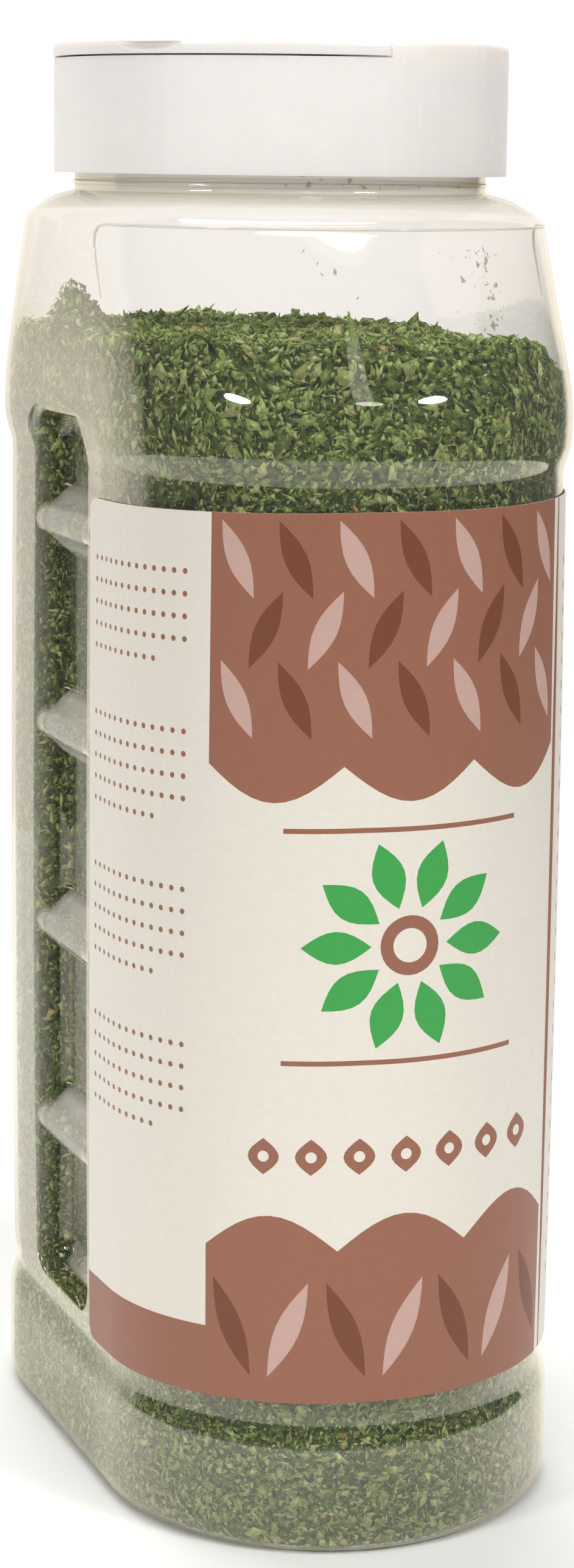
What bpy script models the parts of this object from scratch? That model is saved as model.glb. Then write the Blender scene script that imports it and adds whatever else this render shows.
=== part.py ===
"""Clear spice jar of dried parsley with a flip-top cap, in metres, +Z up, label towards -Y.

Nodes: jar, parsley, label, cap and flap. The flap turns on the cap; the rest is one body.
"""

import math
import random

import bmesh
import bpy
from mathutils import Matrix, Vector
from mathutils.geometry import delaunay_2d_cdt

MM = 0.001

# Plan of the body: two half circles joined by straight sides
HALF_STRAIGHT = 21.0 * MM
ARC_STEPS = 20
WALL = 0.8 * MM

# Heights and radii of the outside, from the foot to the neck
FOOT_INNER_RADIUS = 26.5 * MM
FOOT_CORNER = 3.6 * MM
PUSH_UP = 1.0 * MM
BASE_RADIUS = 33.6 * MM
BASE_TOP = 15.6 * MM
PANEL_BOTTOM = 19.4 * MM
PANEL_TOP = 150.6 * MM
PANEL_RADIUS = 32.9 * MM
PANEL_BULGE = 0.35 * MM
PANEL_ROWS = 4
SHOULDER_RADIUS = 34.1 * MM
SHOULDER_BOTTOM = 153.6 * MM
SHOULDER_BEND = 159.2 * MM
SHOULDER_TOP = 182.2 * MM
SHOULDER_TOP_STRAIGHT = 10.2 * MM
NECK_BOTTOM = 188.3 * MM
NECK_TOP = 205.0 * MM
NECK_RADIUS = 30.0 * MM
NECK_INNER_RADIUS = 28.7 * MM

# Finger grip in each straight side, with ribs across it
GRIP_CENTRE = 2.2 * MM
GRIP_FLOOR = 27.6 * MM
GRIP_FLARE = 2.4 * MM
GRIP_HALF_WIDTH = 10.9 * MM
GRIP_BOTTOM = 23.2 * MM
GRIP_TOP = 156.2 * MM
GRIP_SURFACE = 33.5 * MM
RIB_COUNT = 4
RIB_FIRST = 47.6 * MM
RIB_PITCH = 30.8 * MM
RIB_CREST = 32.9 * MM
RIB_HALF_HEIGHT = 5.0 * MM

# Screw thread shared by the neck and the cap
THREAD_PITCH = 4.2 * MM
THREAD_TURNS = 1.1
THREAD_START = 196.0 * MM
THREAD_HALF_WIDTH = 1.0 * MM
NECK_THREAD_RADIUS = 31.15 * MM
CAP_THREAD_RADIUS = 30.45 * MM

# Label: a sheet that stands just off the panel
LABEL_GAP = 0.15 * MM
LABEL_THICKNESS = 0.25 * MM
LABEL_BOTTOM = 21.6 * MM
LABEL_TOP = 147.0 * MM
LABEL_EDGE = 12.2 * MM

# Cap and its hinged flap
CAP_STEPS = 72
CAP_RADIUS = 33.0 * MM
CAP_BOTTOM = 191.0 * MM
CAP_TOP = 209.7 * MM
CAP_CORNER = 1.1 * MM
CAP_INNER_RADIUS = 31.6 * MM
DECK_BOTTOM = 205.3 * MM
DECK_TOP = 207.1 * MM
LID_UNDERSIDE = 208.2 * MM
LID_POCKET_RADIUS = 30.0 * MM
CAP_TURN = math.radians(-55.7)
HINGE_OFFSET = 16.1 * MM
HINGE_HEIGHT = 209.2 * MM
HINGE_RADIUS = 0.5 * MM
FLAP_BOTTOM = 207.35 * MM
FLAP_RADIUS = 33.12 * MM
FLAP_PLATE = 1.2 * MM
FLAP_RIM = 1.5 * MM
POUR_RADIUS = 27.4 * MM
POUR_INNER = 17.8 * MM
POUR_HALF_ANGLE = math.radians(38.0)
SEAL_CLEARANCE = 0.45 * MM
SEAL_WALL = 0.9 * MM
SEAL_BOTTOM = 206.4 * MM
SCOOP_SIZE = (6.4 * MM, 1.05 * MM, 1.25 * MM)
SCOOP_TOP = 209.0 * MM

# Dried parsley: a core just inside the wall, with flakes that stand out of it
FLAKE_SEED = 11
CLEARANCE = 0.35 * MM
CORE_DEPTH = 1.5 * MM
CORE_ROUGHNESS = 1.6 * MM
CORE_ARC_STEPS = 18
CORE_SIDES = (-16.8, -12.9, -10.5, -4.2, 2.2, 8.6, 14.9, 17.3)
CORE_GRIP_DEPTH = 26.4 * MM
CORE_FLOOR = 1.5 * MM
CORE_GRIP_BOTTOM = (17.2 * MM, 24.6 * MM)
CORE_GRIP_TOP = (157.6 * MM, 160.6 * MM)
CORE_ROWS = 17
MOUND_HEIGHT = 169.5 * MM
MOUND_SLOPE = -0.11
MOUND_CURVE = -1.2
MOUND_SPACING = 5.0 * MM
MOUND_ROUGHNESS = 1.1 * MM
MOUND_FLAKE_SHARE = 0.45
MOUND_FLAKE_STAND = 2.6 * MM
FLAKE_SHARE = 0.5
FLAKE_STAND = 2.0 * MM
FLAKE_HALF_WIDTH = 0.45 * MM


def clear_scene():
    for thing in list(bpy.data.objects):
        bpy.data.objects.remove(thing)


def make_material(name, colour, roughness, alpha=1.0):
    material = bpy.data.materials.new(name)
    material.use_nodes = True
    shader = material.node_tree.nodes["Principled BSDF"]
    shader.inputs["Base Color"].default_value = (*colour, 1.0)
    shader.inputs["Roughness"].default_value = roughness
    shader.inputs["Metallic"].default_value = 0.0
    shader.inputs["Alpha"].default_value = alpha
    material.diffuse_color = (*colour, alpha)
    return material


def add_object(name, bm, material=None):
    """Close a bmesh into a named object with outward faces."""
    bm.normal_update()
    bmesh.ops.recalc_face_normals(bm, faces=bm.faces)
    mesh = bpy.data.meshes.new(name)
    bm.to_mesh(mesh)
    bm.free()
    thing = bpy.data.objects.new(name, mesh)
    bpy.context.scene.collection.objects.link(thing)
    if material:
        mesh.materials.append(material)
    return thing


def combine(target, tool, operation, solver="EXACT"):
    """Apply a Boolean to the target and remove the tool object."""
    modifier = target.modifiers.new(operation.lower(), "BOOLEAN")
    modifier.operation = operation
    modifier.solver = solver
    modifier.object = tool
    bpy.context.view_layer.update()
    evaluated = target.evaluated_get(bpy.context.evaluated_depsgraph_get())
    mesh = bpy.data.meshes.new_from_object(evaluated)
    target.modifiers.clear()
    target.data = mesh
    bpy.data.objects.remove(tool)
    return target


def shade_smooth(thing, degrees):
    for polygon in thing.data.polygons:
        polygon.use_smooth = True
    thing.data.set_sharp_from_angle(angle=math.radians(degrees))


def arc(centre_r, centre_z, radius, first, last, steps):
    """Points (r, z) on an arc between two angles in degrees."""
    angles = [math.radians(first + (last - first) * i / steps) for i in range(steps + 1)]
    return [(centre_r + radius * math.cos(a), centre_z + radius * math.sin(a)) for a in angles]


def plan_loop(radius, straight, height, arc_steps=ARC_STEPS, sides=(-7.0, 7.0)):
    """A loop of the body's plan; as the straight sides shrink it turns into an even circle."""
    side_steps = len(sides) + 1
    count = 2 * (arc_steps + side_steps)
    roundness = 1.0 - straight / HALF_STRAIGHT
    points = []
    for end in (-1, 1):
        for i in range(arc_steps + 1):
            share = i / arc_steps
            plain = math.pi * share
            even = math.pi / 2 + (share - 0.5) * 2 * math.pi * arc_steps / count
            angle = plain + (even - plain) * roundness
            points.append((end * -radius * math.cos(angle), end * (straight + radius * math.sin(angle))))
        for k, side in enumerate(sides if end < 0 else sides[::-1]):
            even = (0.5 - (k + 1) / side_steps) * 2 * math.pi * side_steps / count
            x = radius * math.cos(even * roundness)
            y = straight * side * MM / HALF_STRAIGHT + end * radius * math.sin(even * roundness)
            points.append((end * x, y))
    return [Vector((x, y, height)) for x, y in points]


def loft(name, loops, material=None):
    """A closed solid from a stack of loops that hold the same number of points."""
    bm = bmesh.new()
    rings = [[bm.verts.new(point) for point in loop] for loop in loops]
    for lower, upper in zip(rings, rings[1:]):
        for i in range(len(lower)):
            j = (i + 1) % len(lower)
            bm.faces.new((lower[i], lower[j], upper[j], upper[i]))
    bm.faces.new(rings[0][::-1])
    bm.faces.new(rings[-1])
    return add_object(name, bm, material)


def circle_loop(radius, height, steps=CAP_STEPS):
    angles = [2 * math.pi * i / steps for i in range(steps)]
    return [Vector((radius * math.cos(a), radius * math.sin(a), height)) for a in angles]


def turned(name, profile, material=None):
    """A solid of revolution from (radius, height) pairs, closed flat at both ends."""
    return loft(name, [circle_loop(radius, height) for radius, height in profile], material)


def prism(name, outline, low, high):
    """A plan outline raised from one height to another."""
    return loft(name, [[Vector((x, y, z)) for x, y in outline] for z in (low, high)])


def panel_radius(height):
    """The label panel swells a little at its middle."""
    middle = (PANEL_BOTTOM + PANEL_TOP) / 2
    share = (height - middle) / (PANEL_TOP - middle)
    return PANEL_RADIUS + PANEL_BULGE * (1 - share * share)


def body_rows():
    """The outside of the body as rows of height, radius and half straight."""
    panel = [PANEL_BOTTOM + (PANEL_TOP - PANEL_BOTTOM) * i / PANEL_ROWS for i in range(PANEL_ROWS + 1)]
    upright = [(z, r) for r, z in arc(BASE_RADIUS - FOOT_CORNER, FOOT_CORNER, FOOT_CORNER, -90, 0, 4)]
    upright.append((BASE_TOP, BASE_RADIUS))
    upright += [(height, panel_radius(height)) for height in panel]
    upright.append((SHOULDER_BOTTOM, SHOULDER_RADIUS - 0.2 * MM))
    upright.append((SHOULDER_BOTTOM + 1.4 * MM, SHOULDER_RADIUS))
    rows = [(z, r, HALF_STRAIGHT) for z, r in upright]
    rows.append((SHOULDER_BEND - 1.5 * MM, SHOULDER_RADIUS, HALF_STRAIGHT))
    rows.append((SHOULDER_BEND + 1.5 * MM, SHOULDER_RADIUS, HALF_STRAIGHT - 0.75 * MM))
    rows.append((SHOULDER_TOP, SHOULDER_RADIUS, SHOULDER_TOP_STRAIGHT))
    return rows


def wall_at(height):
    """Radius and half straight of the outside at a height, between the rows of the body."""
    rows = body_rows()
    if height <= rows[0][0]:
        return rows[0][1], rows[0][2]
    for (z0, r0, s0), (z1, r1, s1) in zip(rows, rows[1:]):
        if height <= z1:
            share = (height - z0) / (z1 - z0)
            return r0 + (r1 - r0) * share, s0 + (s1 - s0) * share
    return rows[-1][1], rows[-1][2]


def grip_cutter(name, side, grow):
    """The space of one finger grip; grow makes it larger all round for the inside of the wall."""
    floor = GRIP_FLOOR - grow
    wall = floor + 3.4 * MM
    mouth = GRIP_SURFACE - grow
    half = GRIP_HALF_WIDTH + grow
    low = GRIP_BOTTOM - grow
    high = GRIP_TOP + grow
    steps = (
        (floor, half - 2.0 * MM, low + 4.0 * MM, high - 1.8 * MM),
        (floor + 0.5 * MM, half - 0.8 * MM, low + 2.4 * MM, high - 0.7 * MM),
        (floor + 1.8 * MM, half - 0.2 * MM, low + 1.2 * MM, high - 0.2 * MM),
        (wall, half, low, high),
        (wall + 0.65 * (mouth - wall), half + 0.28 * GRIP_FLARE, low - 1.1 * MM, high + 0.7 * MM),
        (wall + 0.93 * (mouth - wall), half + 0.65 * GRIP_FLARE, low - 2.3 * MM, high + 1.6 * MM),
        (mouth, half + GRIP_FLARE, low - 3.4 * MM, high + 2.4 * MM),
        (mouth + 4.0 * MM, half + GRIP_FLARE, low - 3.4 * MM, high + 2.4 * MM),
    )
    loops = []
    for depth, half_width, bottom, top in steps:
        corner = 2.5 * MM + half_width - half + 2.0 * MM
        middle = (bottom + top) / 2
        half_height = (top - bottom) / 2
        loop = []
        for quarter, (sy, sz) in enumerate(((1, 1), (-1, 1), (-1, -1), (1, -1))):
            for i in range(5):
                angle = math.radians(90 * quarter + 22.5 * i)
                y = GRIP_CENTRE + sy * (half_width - corner) + corner * math.cos(angle)
                z = middle + sz * (half_height - corner) + corner * math.sin(angle)
                loop.append(Vector((side * depth, y, z)))
        loops.append(loop)
    return loft(name, loops)


def rib_bars(name, side, inset, half_length):
    """The ribs of one grip as rounded bars in one mesh, thinner by the inset."""
    bm = bmesh.new()
    crest = RIB_CREST - inset
    root = GRIP_FLOOR - 0.8 * MM - inset
    half = RIB_HALF_HEIGHT - 0.8 * inset
    outline = [(root, -half), (root + 1.6 * MM, 0.1 * MM - 0.8 * half)]
    outline += arc(crest - 1.5 * MM, 0.0, 1.5 * MM, -56, 56, 6)
    outline += [(root + 1.6 * MM, 0.8 * half - 0.1 * MM), (root, half)]
    for k in range(RIB_COUNT):
        height = RIB_FIRST + k * RIB_PITCH
        ends = []
        for y in (GRIP_CENTRE - half_length, GRIP_CENTRE + half_length):
            ends.append([bm.verts.new((side * x, y, height + z)) for x, z in outline])
        for i in range(len(outline)):
            j = (i + 1) % len(outline)
            bm.faces.new((ends[0][i], ends[0][j], ends[1][j], ends[1][i]))
        bm.faces.new(ends[0][::-1])
        bm.faces.new(ends[1])
    return add_object(name, bm)


def thread_ridge(name, root, crest, start):
    """A helical ridge that rises one pitch a turn and fades out at both ends."""
    bm = bmesh.new()
    steps = int(24 * THREAD_TURNS)
    rings = []
    for i in range(steps + 1):
        share = i / steps
        fade = max(0.15, min(1.0, share * 10, (1 - share) * 10))
        angle = 2 * math.pi * THREAD_TURNS * share
        height = start + THREAD_PITCH * THREAD_TURNS * share
        tip = root + (crest - root) * fade
        ring = []
        for radius, rise in ((root, -1.0), (tip, -0.6), (tip, 0.6), (root, 1.0)):
            flat = (radius * math.cos(angle), radius * math.sin(angle))
            ring.append(bm.verts.new((*flat, height + rise * fade * THREAD_HALF_WIDTH)))
        rings.append(ring)
    for near, far in zip(rings, rings[1:]):
        for i in range(4):
            j = (i + 1) % 4
            bm.faces.new((near[i], near[j], far[j], far[i]))
    bm.faces.new(rings[0][::-1])
    bm.faces.new(rings[-1])
    return add_object(name, bm)


def cavity():
    """The space inside the wall, clear of the grips but open into their hollow ribs."""
    corner_centre = BASE_RADIUS - FOOT_CORNER
    rows = [(PUSH_UP + WALL, FOOT_INNER_RADIUS - 2.5 * MM, HALF_STRAIGHT)]
    rows.append((WALL, FOOT_INNER_RADIUS, HALF_STRAIGHT))
    for r, z in arc(corner_centre, FOOT_CORNER, FOOT_CORNER - WALL, -90, 0, 4):
        rows.append((z, r, HALF_STRAIGHT))
    rows += [(z, r - WALL, s) for z, r, s in body_rows()[5:]]
    rows.append((183.7 * MM, 32.8 * MM, 9.6 * MM))
    rows.append((184.9 * MM, 31.9 * MM, 8.5 * MM))
    rows.append((185.7 * MM, 30.7 * MM, 6.4 * MM))
    rows.append((186.2 * MM, 29.9 * MM, 3.6 * MM))
    rows.append((186.8 * MM, 29.0 * MM, 1.1 * MM))
    rows.append((NECK_BOTTOM, NECK_INNER_RADIUS, 0.0))
    rows.append((NECK_TOP + 1.0 * MM, NECK_INNER_RADIUS, 0.0))
    space = loft("cavity", [plan_loop(r, s, z) for z, r, s in rows])
    for side in (-1, 1):
        combine(space, grip_cutter("grip_inside", side, WALL), "DIFFERENCE")
        combine(space, rib_bars("rib_inside", side, WALL, GRIP_HALF_WIDTH + 1.6 * MM), "UNION")
    return space


def build_jar():
    material = make_material("clear_plastic", (0.88, 0.92, 0.88), 0.08, 0.3)
    rows = [(PUSH_UP, FOOT_INNER_RADIUS - 2.5 * MM, HALF_STRAIGHT)]
    rows.append((0.0, FOOT_INNER_RADIUS, HALF_STRAIGHT))
    rows += body_rows()
    rows.append((184.2 * MM, 33.7 * MM, 9.8 * MM))
    rows.append((185.6 * MM, 32.9 * MM, 8.8 * MM))
    rows.append((186.5 * MM, 31.7 * MM, 6.8 * MM))
    rows.append((187.0 * MM, 31.0 * MM, 3.8 * MM))
    rows.append((187.5 * MM, 30.4 * MM, 1.2 * MM))
    rows.append((NECK_BOTTOM, NECK_RADIUS, 0.0))
    rows.append((NECK_TOP - 0.6 * MM, NECK_RADIUS, 0.0))
    rows.append((NECK_TOP, NECK_RADIUS - 0.5 * MM, 0.0))
    jar = loft("jar", [plan_loop(r, s, z) for z, r, s in rows], material)
    for side in (-1, 1):
        combine(jar, grip_cutter("grip", side, 0.0), "DIFFERENCE")
        combine(jar, rib_bars("ribs", side, 0.0, GRIP_HALF_WIDTH + GRIP_FLARE), "UNION")
    thread = thread_ridge("thread", NECK_RADIUS - 0.4 * MM, NECK_THREAD_RADIUS, THREAD_START)
    combine(jar, thread, "UNION")
    combine(jar, cavity(), "DIFFERENCE")
    shade_smooth(jar, 32)
    return jar


def build_label():
    """A closed sheet round the front, from grip to grip, with the panel's own facets."""
    material = make_material("label_paper", (0.74, 0.68, 0.58), 0.45)
    bm = bmesh.new()
    panel = [PANEL_BOTTOM + (PANEL_TOP - PANEL_BOTTOM) * i / PANEL_ROWS for i in range(1, PANEL_ROWS)]
    skins = []
    for offset in (LABEL_GAP, LABEL_GAP + LABEL_THICKNESS):
        grid = []
        for height in (LABEL_BOTTOM, *panel, LABEL_TOP):
            radius = wall_at(height)[0] + offset
            front = plan_loop(radius, HALF_STRAIGHT, height)[:ARC_STEPS + 1]
            left = Vector((-radius, -LABEL_EDGE, height))
            right = Vector((radius, -LABEL_EDGE, height))
            grid.append([bm.verts.new(point) for point in (right, *front, left)])
        skins.append(grid)
    columns = len(skins[0][0])
    for grid in skins:
        for lower, upper in zip(grid, grid[1:]):
            for i in range(columns - 1):
                bm.faces.new((lower[i], lower[i + 1], upper[i + 1], upper[i]))
    inner, outer = skins
    for row in (0, -1):
        for i in range(columns - 1):
            bm.faces.new((inner[row][i], inner[row][i + 1], outer[row][i + 1], outer[row][i]))
    for column in (0, -1):
        for k in range(len(inner) - 1):
            corners = (inner[k][column], inner[k + 1][column], outer[k + 1][column], outer[k][column])
            bm.faces.new(corners)
    label = add_object("label", bm, material)
    shade_smooth(label, 40)
    return label


def pour_outline(inset):
    """Plan of the kidney-shaped pour opening, made smaller all round by the inset."""
    radius = POUR_RADIUS - inset
    half = POUR_HALF_ANGLE - inset / POUR_RADIUS
    points = []
    for i in range(13):
        angle = -math.pi / 2 - half + 2 * half * i / 12
        points.append((radius * math.cos(angle), radius * math.sin(angle)))
    end_x, end_y = points[-1]
    inner = -POUR_INNER - inset
    for x, y in ((end_x - 0.4 * MM, end_y + 1.6 * MM), (end_x - 2.2 * MM, inner)):
        points.append((x, y))
    points += [(-x, y) for x, y in points[:-3:-1]]
    return points


def build_cap(frame):
    """Threaded cap: a skirt, a low deck with the pour opening, and a raised fixed part."""
    material = make_material("cap_plastic", (0.86, 0.82, 0.77), 0.38)
    profile = [(CAP_RADIUS, CAP_BOTTOM)]
    profile += arc(CAP_RADIUS - CAP_CORNER, CAP_TOP - CAP_CORNER, CAP_CORNER, 0, 90, 4)
    cap = turned("cap", profile, material)
    pocket = turned("skirt_inside", [(CAP_INNER_RADIUS, CAP_BOTTOM - 1 * MM), (CAP_INNER_RADIUS, DECK_BOTTOM)])
    combine(cap, pocket, "DIFFERENCE")
    wall = -HINGE_OFFSET + 0.2 * MM
    section = ((-0.05, DECK_TOP), (wall, DECK_TOP), (wall, HINGE_HEIGHT - 0.9 * MM))
    section += ((wall + 1.0 * MM, CAP_TOP + 0.05 * MM), (wall + 1.0 * MM, 0.22), (-0.05, 0.22))
    recess = loft("flap_recess", [[Vector((x, y, z)) for y, z in section] for x in (-0.05, 0.05)])
    combine(cap, recess, "DIFFERENCE")
    combine(cap, prism("pour_opening", pour_outline(0.0), DECK_BOTTOM - 1 * MM, DECK_TOP + 1 * MM), "DIFFERENCE")
    edge = wall + 1.7 * MM
    start = math.asin(edge / LID_POCKET_RADIUS)
    pocket_angles = [start + (math.pi - 2 * start) * i / 30 for i in range(31)]
    outline = [(LID_POCKET_RADIUS * math.cos(a), LID_POCKET_RADIUS * math.sin(a)) for a in pocket_angles]
    combine(cap, prism("lid_inside", outline, DECK_BOTTOM - 1 * MM, LID_UNDERSIDE), "DIFFERENCE")
    start = THREAD_START - THREAD_PITCH / 2
    thread = thread_ridge("cap_thread", CAP_INNER_RADIUS + 0.4 * MM, CAP_THREAD_RADIUS, start)
    combine(cap, thread, "UNION")
    shade_smooth(cap, 35)
    cap.parent = frame
    return cap


def build_flap(frame):
    """Hinged flap: a plate with a rim, a seal that enters the pour opening and two hinge knuckles."""
    material = make_material("flap_plastic", (0.87, 0.83, 0.78), 0.36)
    profile = [(FLAP_RADIUS, FLAP_BOTTOM)]
    profile += arc(FLAP_RADIUS - CAP_CORNER, CAP_TOP - CAP_CORNER, CAP_CORNER, 0, 90, 4)
    flap = turned("flap", profile, material)
    edge = -HINGE_OFFSET - 0.1 * MM
    half = 0.05
    waste = prism("waste", [(-half, edge), (half, edge), (half, half), (-half, half)], 0.2, 0.22)
    combine(flap, waste, "DIFFERENCE")
    inner = FLAP_RADIUS - FLAP_RIM
    start = math.acos((HINGE_OFFSET + FLAP_RIM) / inner)
    angles = [-math.pi / 2 - start + 2 * start * i / 24 for i in range(25)]
    outline = [(inner * math.cos(a), inner * math.sin(a)) for a in angles]
    underside = CAP_TOP - FLAP_PLATE
    combine(flap, prism("underside", outline, FLAP_BOTTOM - 1 * MM, underside), "DIFFERENCE")
    seal = prism("seal", pour_outline(SEAL_CLEARANCE), SEAL_BOTTOM, underside + 0.3 * MM)
    hole = prism("seal_hole", pour_outline(SEAL_CLEARANCE + SEAL_WALL), SEAL_BOTTOM - 1 * MM, underside + 1 * MM)
    combine(seal, hole, "DIFFERENCE")
    combine(flap, seal, "UNION")
    for x in (-10.0 * MM, 10.0 * MM):
        loops = []
        for end in (x - 4.5 * MM, x + 4.5 * MM):
            angles = [2 * math.pi * i / 12 for i in range(12)]
            loops.append([
                Vector((
                    end,
                    -HINGE_OFFSET + HINGE_RADIUS * math.cos(a),
                    HINGE_HEIGHT + HINGE_RADIUS * math.sin(a),
                ))
                for a in angles
            ])
        combine(flap, loft("knuckle", loops), "UNION")
    combine(flap, thumb_scoop(), "DIFFERENCE")
    shade_smooth(flap, 35)
    hinge = bpy.data.objects.new("flap_hinge", None)
    bpy.context.scene.collection.objects.link(hinge)
    hinge.parent = frame
    hinge.location = (0.0, -HINGE_OFFSET, HINGE_HEIGHT)
    flap.data.transform(Matrix.Translation(-hinge.location))
    flap.parent = hinge
    return flap


def thumb_scoop():
    """The crescent under the flap's front edge: the lower half of a flat ellipsoid."""
    bm = bmesh.new()
    bmesh.ops.create_uvsphere(bm, u_segments=20, v_segments=10, radius=1.0)
    bmesh.ops.scale(bm, vec=SCOOP_SIZE, verts=bm.verts)
    whole = bm.verts[:] + bm.edges[:] + bm.faces[:]
    bmesh.ops.bisect_plane(bm, geom=whole, plane_co=(0, 0, 0), plane_no=(0, 0, 1), clear_outer=True)
    rim = [edge for edge in bm.edges if edge.is_boundary]
    bmesh.ops.contextual_create(bm, geom=rim)
    bmesh.ops.translate(bm, vec=(0.0, -FLAP_RADIUS - 0.02 * MM, SCOOP_TOP), verts=bm.verts)
    return add_object("scoop", bm)


def mound_height(x):
    return MOUND_HEIGHT + MOUND_SLOPE * x + MOUND_CURVE * x * x


def wall_limit(point):
    """How far out of the middle line the parsley may reach at this point."""
    radius = wall_at(point.z)[0]
    in_grip = CORE_GRIP_BOTTOM[0] < point.z < CORE_GRIP_TOP[1]
    if in_grip and abs(point.y - GRIP_CENTRE) < 14.2 * MM:
        return CORE_GRIP_DEPTH
    return radius - WALL - CLEARANCE


def keep_inside(point):
    """Pull a point back to the clearance inside the wall."""
    straight = wall_at(point.z)[1]
    middle = Vector((0.0, max(-straight, min(straight, point.y)), point.z))
    out = point - middle
    limit = wall_limit(point)
    if out.length > limit:
        return middle + out * (limit / out.length)
    return point


def core_loop(low, high, share, rng):
    """One level of the core: a plan loop between two heights, drawn in at the grips."""
    loop = []
    for flat in plan_loop(1.0 * MM, HALF_STRAIGHT, 0.0, CORE_ARC_STEPS, CORE_SIDES):
        middle_y = max(-HALF_STRAIGHT, min(HALF_STRAIGHT, flat.y))
        direction = Vector((flat.x, flat.y - middle_y, 0.0)).normalized()
        height = low
        if share > 0:
            height += (min(high, mound_height(direction.x * PANEL_RADIUS)) - low) * share
        radius, straight = wall_at(height)
        depth = radius - WALL - CLEARANCE
        in_grip = CORE_GRIP_BOTTOM[1] <= height <= CORE_GRIP_TOP[0]
        if in_grip and abs(flat.y - GRIP_CENTRE) < 13.0 * MM and abs(direction.x) > 0.99:
            depth = CORE_GRIP_DEPTH
        depth -= CORE_DEPTH + CORE_ROUGHNESS * rng.random()
        y = middle_y / HALF_STRAIGHT * straight
        loop.append(Vector((0.0, y, height)) + direction * depth)
    return loop


def mound_points(edge, rng):
    """Loose points on the mound, kept clear of its edge, in rows set off from each other."""
    points = []
    rows = int(2 * (HALF_STRAIGHT + PANEL_RADIUS) / MOUND_SPACING)
    for row in range(rows + 1):
        y = -HALF_STRAIGHT - PANEL_RADIUS + row * MOUND_SPACING * 1.02
        for column in range(-8, 9):
            x = (column + 0.5 * (row % 2)) * MOUND_SPACING * 1.1
            x += rng.uniform(-0.25, 0.25) * MOUND_SPACING
            middle_y = max(-edge[1], min(edge[1], y))
            if math.hypot(x, y - middle_y) < edge[0] - 0.75 * MOUND_SPACING:
                points.append((x, y + rng.uniform(-0.25, 0.25) * MOUND_SPACING))
    return points


def close_mound(bm, ring, rng):
    """Fill the top of the core with an uneven mesh of small facets."""
    rim = [vert.co.xy for vert in ring]
    radius = max(abs(point.x) for point in rim)
    straight = max(abs(point.y) for point in rim) - radius
    inner = mound_points((radius, straight), rng)
    flat = rim + [Vector(point) for point in inner]
    outline = list(range(len(rim)))
    found = delaunay_2d_cdt(flat, [], [outline], 1, 1e-7)
    verts = list(ring)
    for x, y in found[0][len(rim):]:
        verts.append(bm.verts.new((x, y, mound_height(x) + rng.uniform(-1.0, 1.0) * MOUND_ROUGHNESS)))
    for corners in found[2]:
        bm.faces.new([verts[i] for i in corners])


def raise_flake(bm, face, stand, rng):
    """Draw one face of the core out into a leaf: a narrow tilted blade on a broad foot."""
    corners = list(face.verts)
    middle = face.calc_center_median()
    normal = face.normal.copy()
    side = (corners[1].co - corners[0].co).normalized()
    across = normal.cross(side)
    reach = 0.36 * math.sqrt(face.calc_area())
    count = len(corners)
    turn = rng.uniform(-0.5, 0.5)
    lean = side * rng.uniform(-0.4, 0.4) * reach + across * rng.uniform(-0.4, 0.4) * reach
    top = []
    for vert in corners:
        offset = vert.co - middle
        angle = math.atan2(offset.dot(across), offset.dot(side)) + turn
        along = side * math.cos(angle) * FLAKE_HALF_WIDTH * 1.4
        along += across * math.sin(angle) * reach * 1.25
        rise = stand * (1.0 + rng.uniform(-0.3, 0.3))
        top.append(bm.verts.new(keep_inside(middle + lean + along + normal * rise)))
    bm.faces.remove(face)
    for i in range(count):
        j = (i + 1) % count
        bm.faces.new((corners[i], corners[j], top[j], top[i]))
    bm.faces.new(top)


def on_slope(face):
    """True where a face steps from the wall down into a grip, where a flake has no room."""
    limits = [wall_limit(vert.co) for vert in face.verts]
    return max(limits) - min(limits) > 1.0 * MM


def behind_label(point):
    """True where the label hides the parsley, so that flakes there would never show."""
    return point.y < -LABEL_EDGE and LABEL_BOTTOM + 6 * MM < point.z < LABEL_TOP - 4 * MM


def build_parsley():
    """Dried parsley: a rough core that follows the wall and the grips, with flakes all over it."""
    material = make_material("dried_parsley", (0.16, 0.24, 0.08), 0.9)
    rng = random.Random(FLAKE_SEED)
    low, high = CORE_GRIP_BOTTOM[1], CORE_GRIP_TOP[0]
    foot = CORE_GRIP_TOP[1]
    heights = [5.0 * MM, 11.0 * MM, CORE_GRIP_BOTTOM[0]]
    heights += [low + (high - low) * i / CORE_ROWS for i in range(CORE_ROWS + 1)]
    base = plan_loop(19.0 * MM, HALF_STRAIGHT, CORE_FLOOR + PUSH_UP, CORE_ARC_STEPS, CORE_SIDES)
    loops = [base, plan_loop(28.0 * MM, HALF_STRAIGHT, CORE_FLOOR, CORE_ARC_STEPS, CORE_SIDES)]
    loops += [core_loop(height, height, 0, rng) for height in heights]
    loops += [core_loop(foot, 1.0, share, rng) for share in (0, 0.5, 1.0)]
    bm = bmesh.new()
    rings = [[bm.verts.new(point) for point in loop] for loop in loops]
    for lower, upper in zip(rings, rings[1:]):
        for i in range(len(lower)):
            j = (i + 1) % len(lower)
            bm.faces.new((lower[i], lower[j], upper[j], upper[i]))
    bm.faces.new(rings[0][::-1])
    close_mound(bm, rings[-1], rng)
    bm.normal_update()
    bmesh.ops.recalc_face_normals(bm, faces=bm.faces)
    for face in list(bm.faces):
        centre = face.calc_center_median()
        if len(face.verts) > 4 or behind_label(centre) or centre.z < 3.2 * MM or on_slope(face):
            continue
        on_mound = len(face.verts) == 3
        if rng.random() < (MOUND_FLAKE_SHARE if on_mound else FLAKE_SHARE):
            raise_flake(bm, face, MOUND_FLAKE_STAND if on_mound else FLAKE_STAND, rng)
    return add_object("parsley", bm, material)


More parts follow.
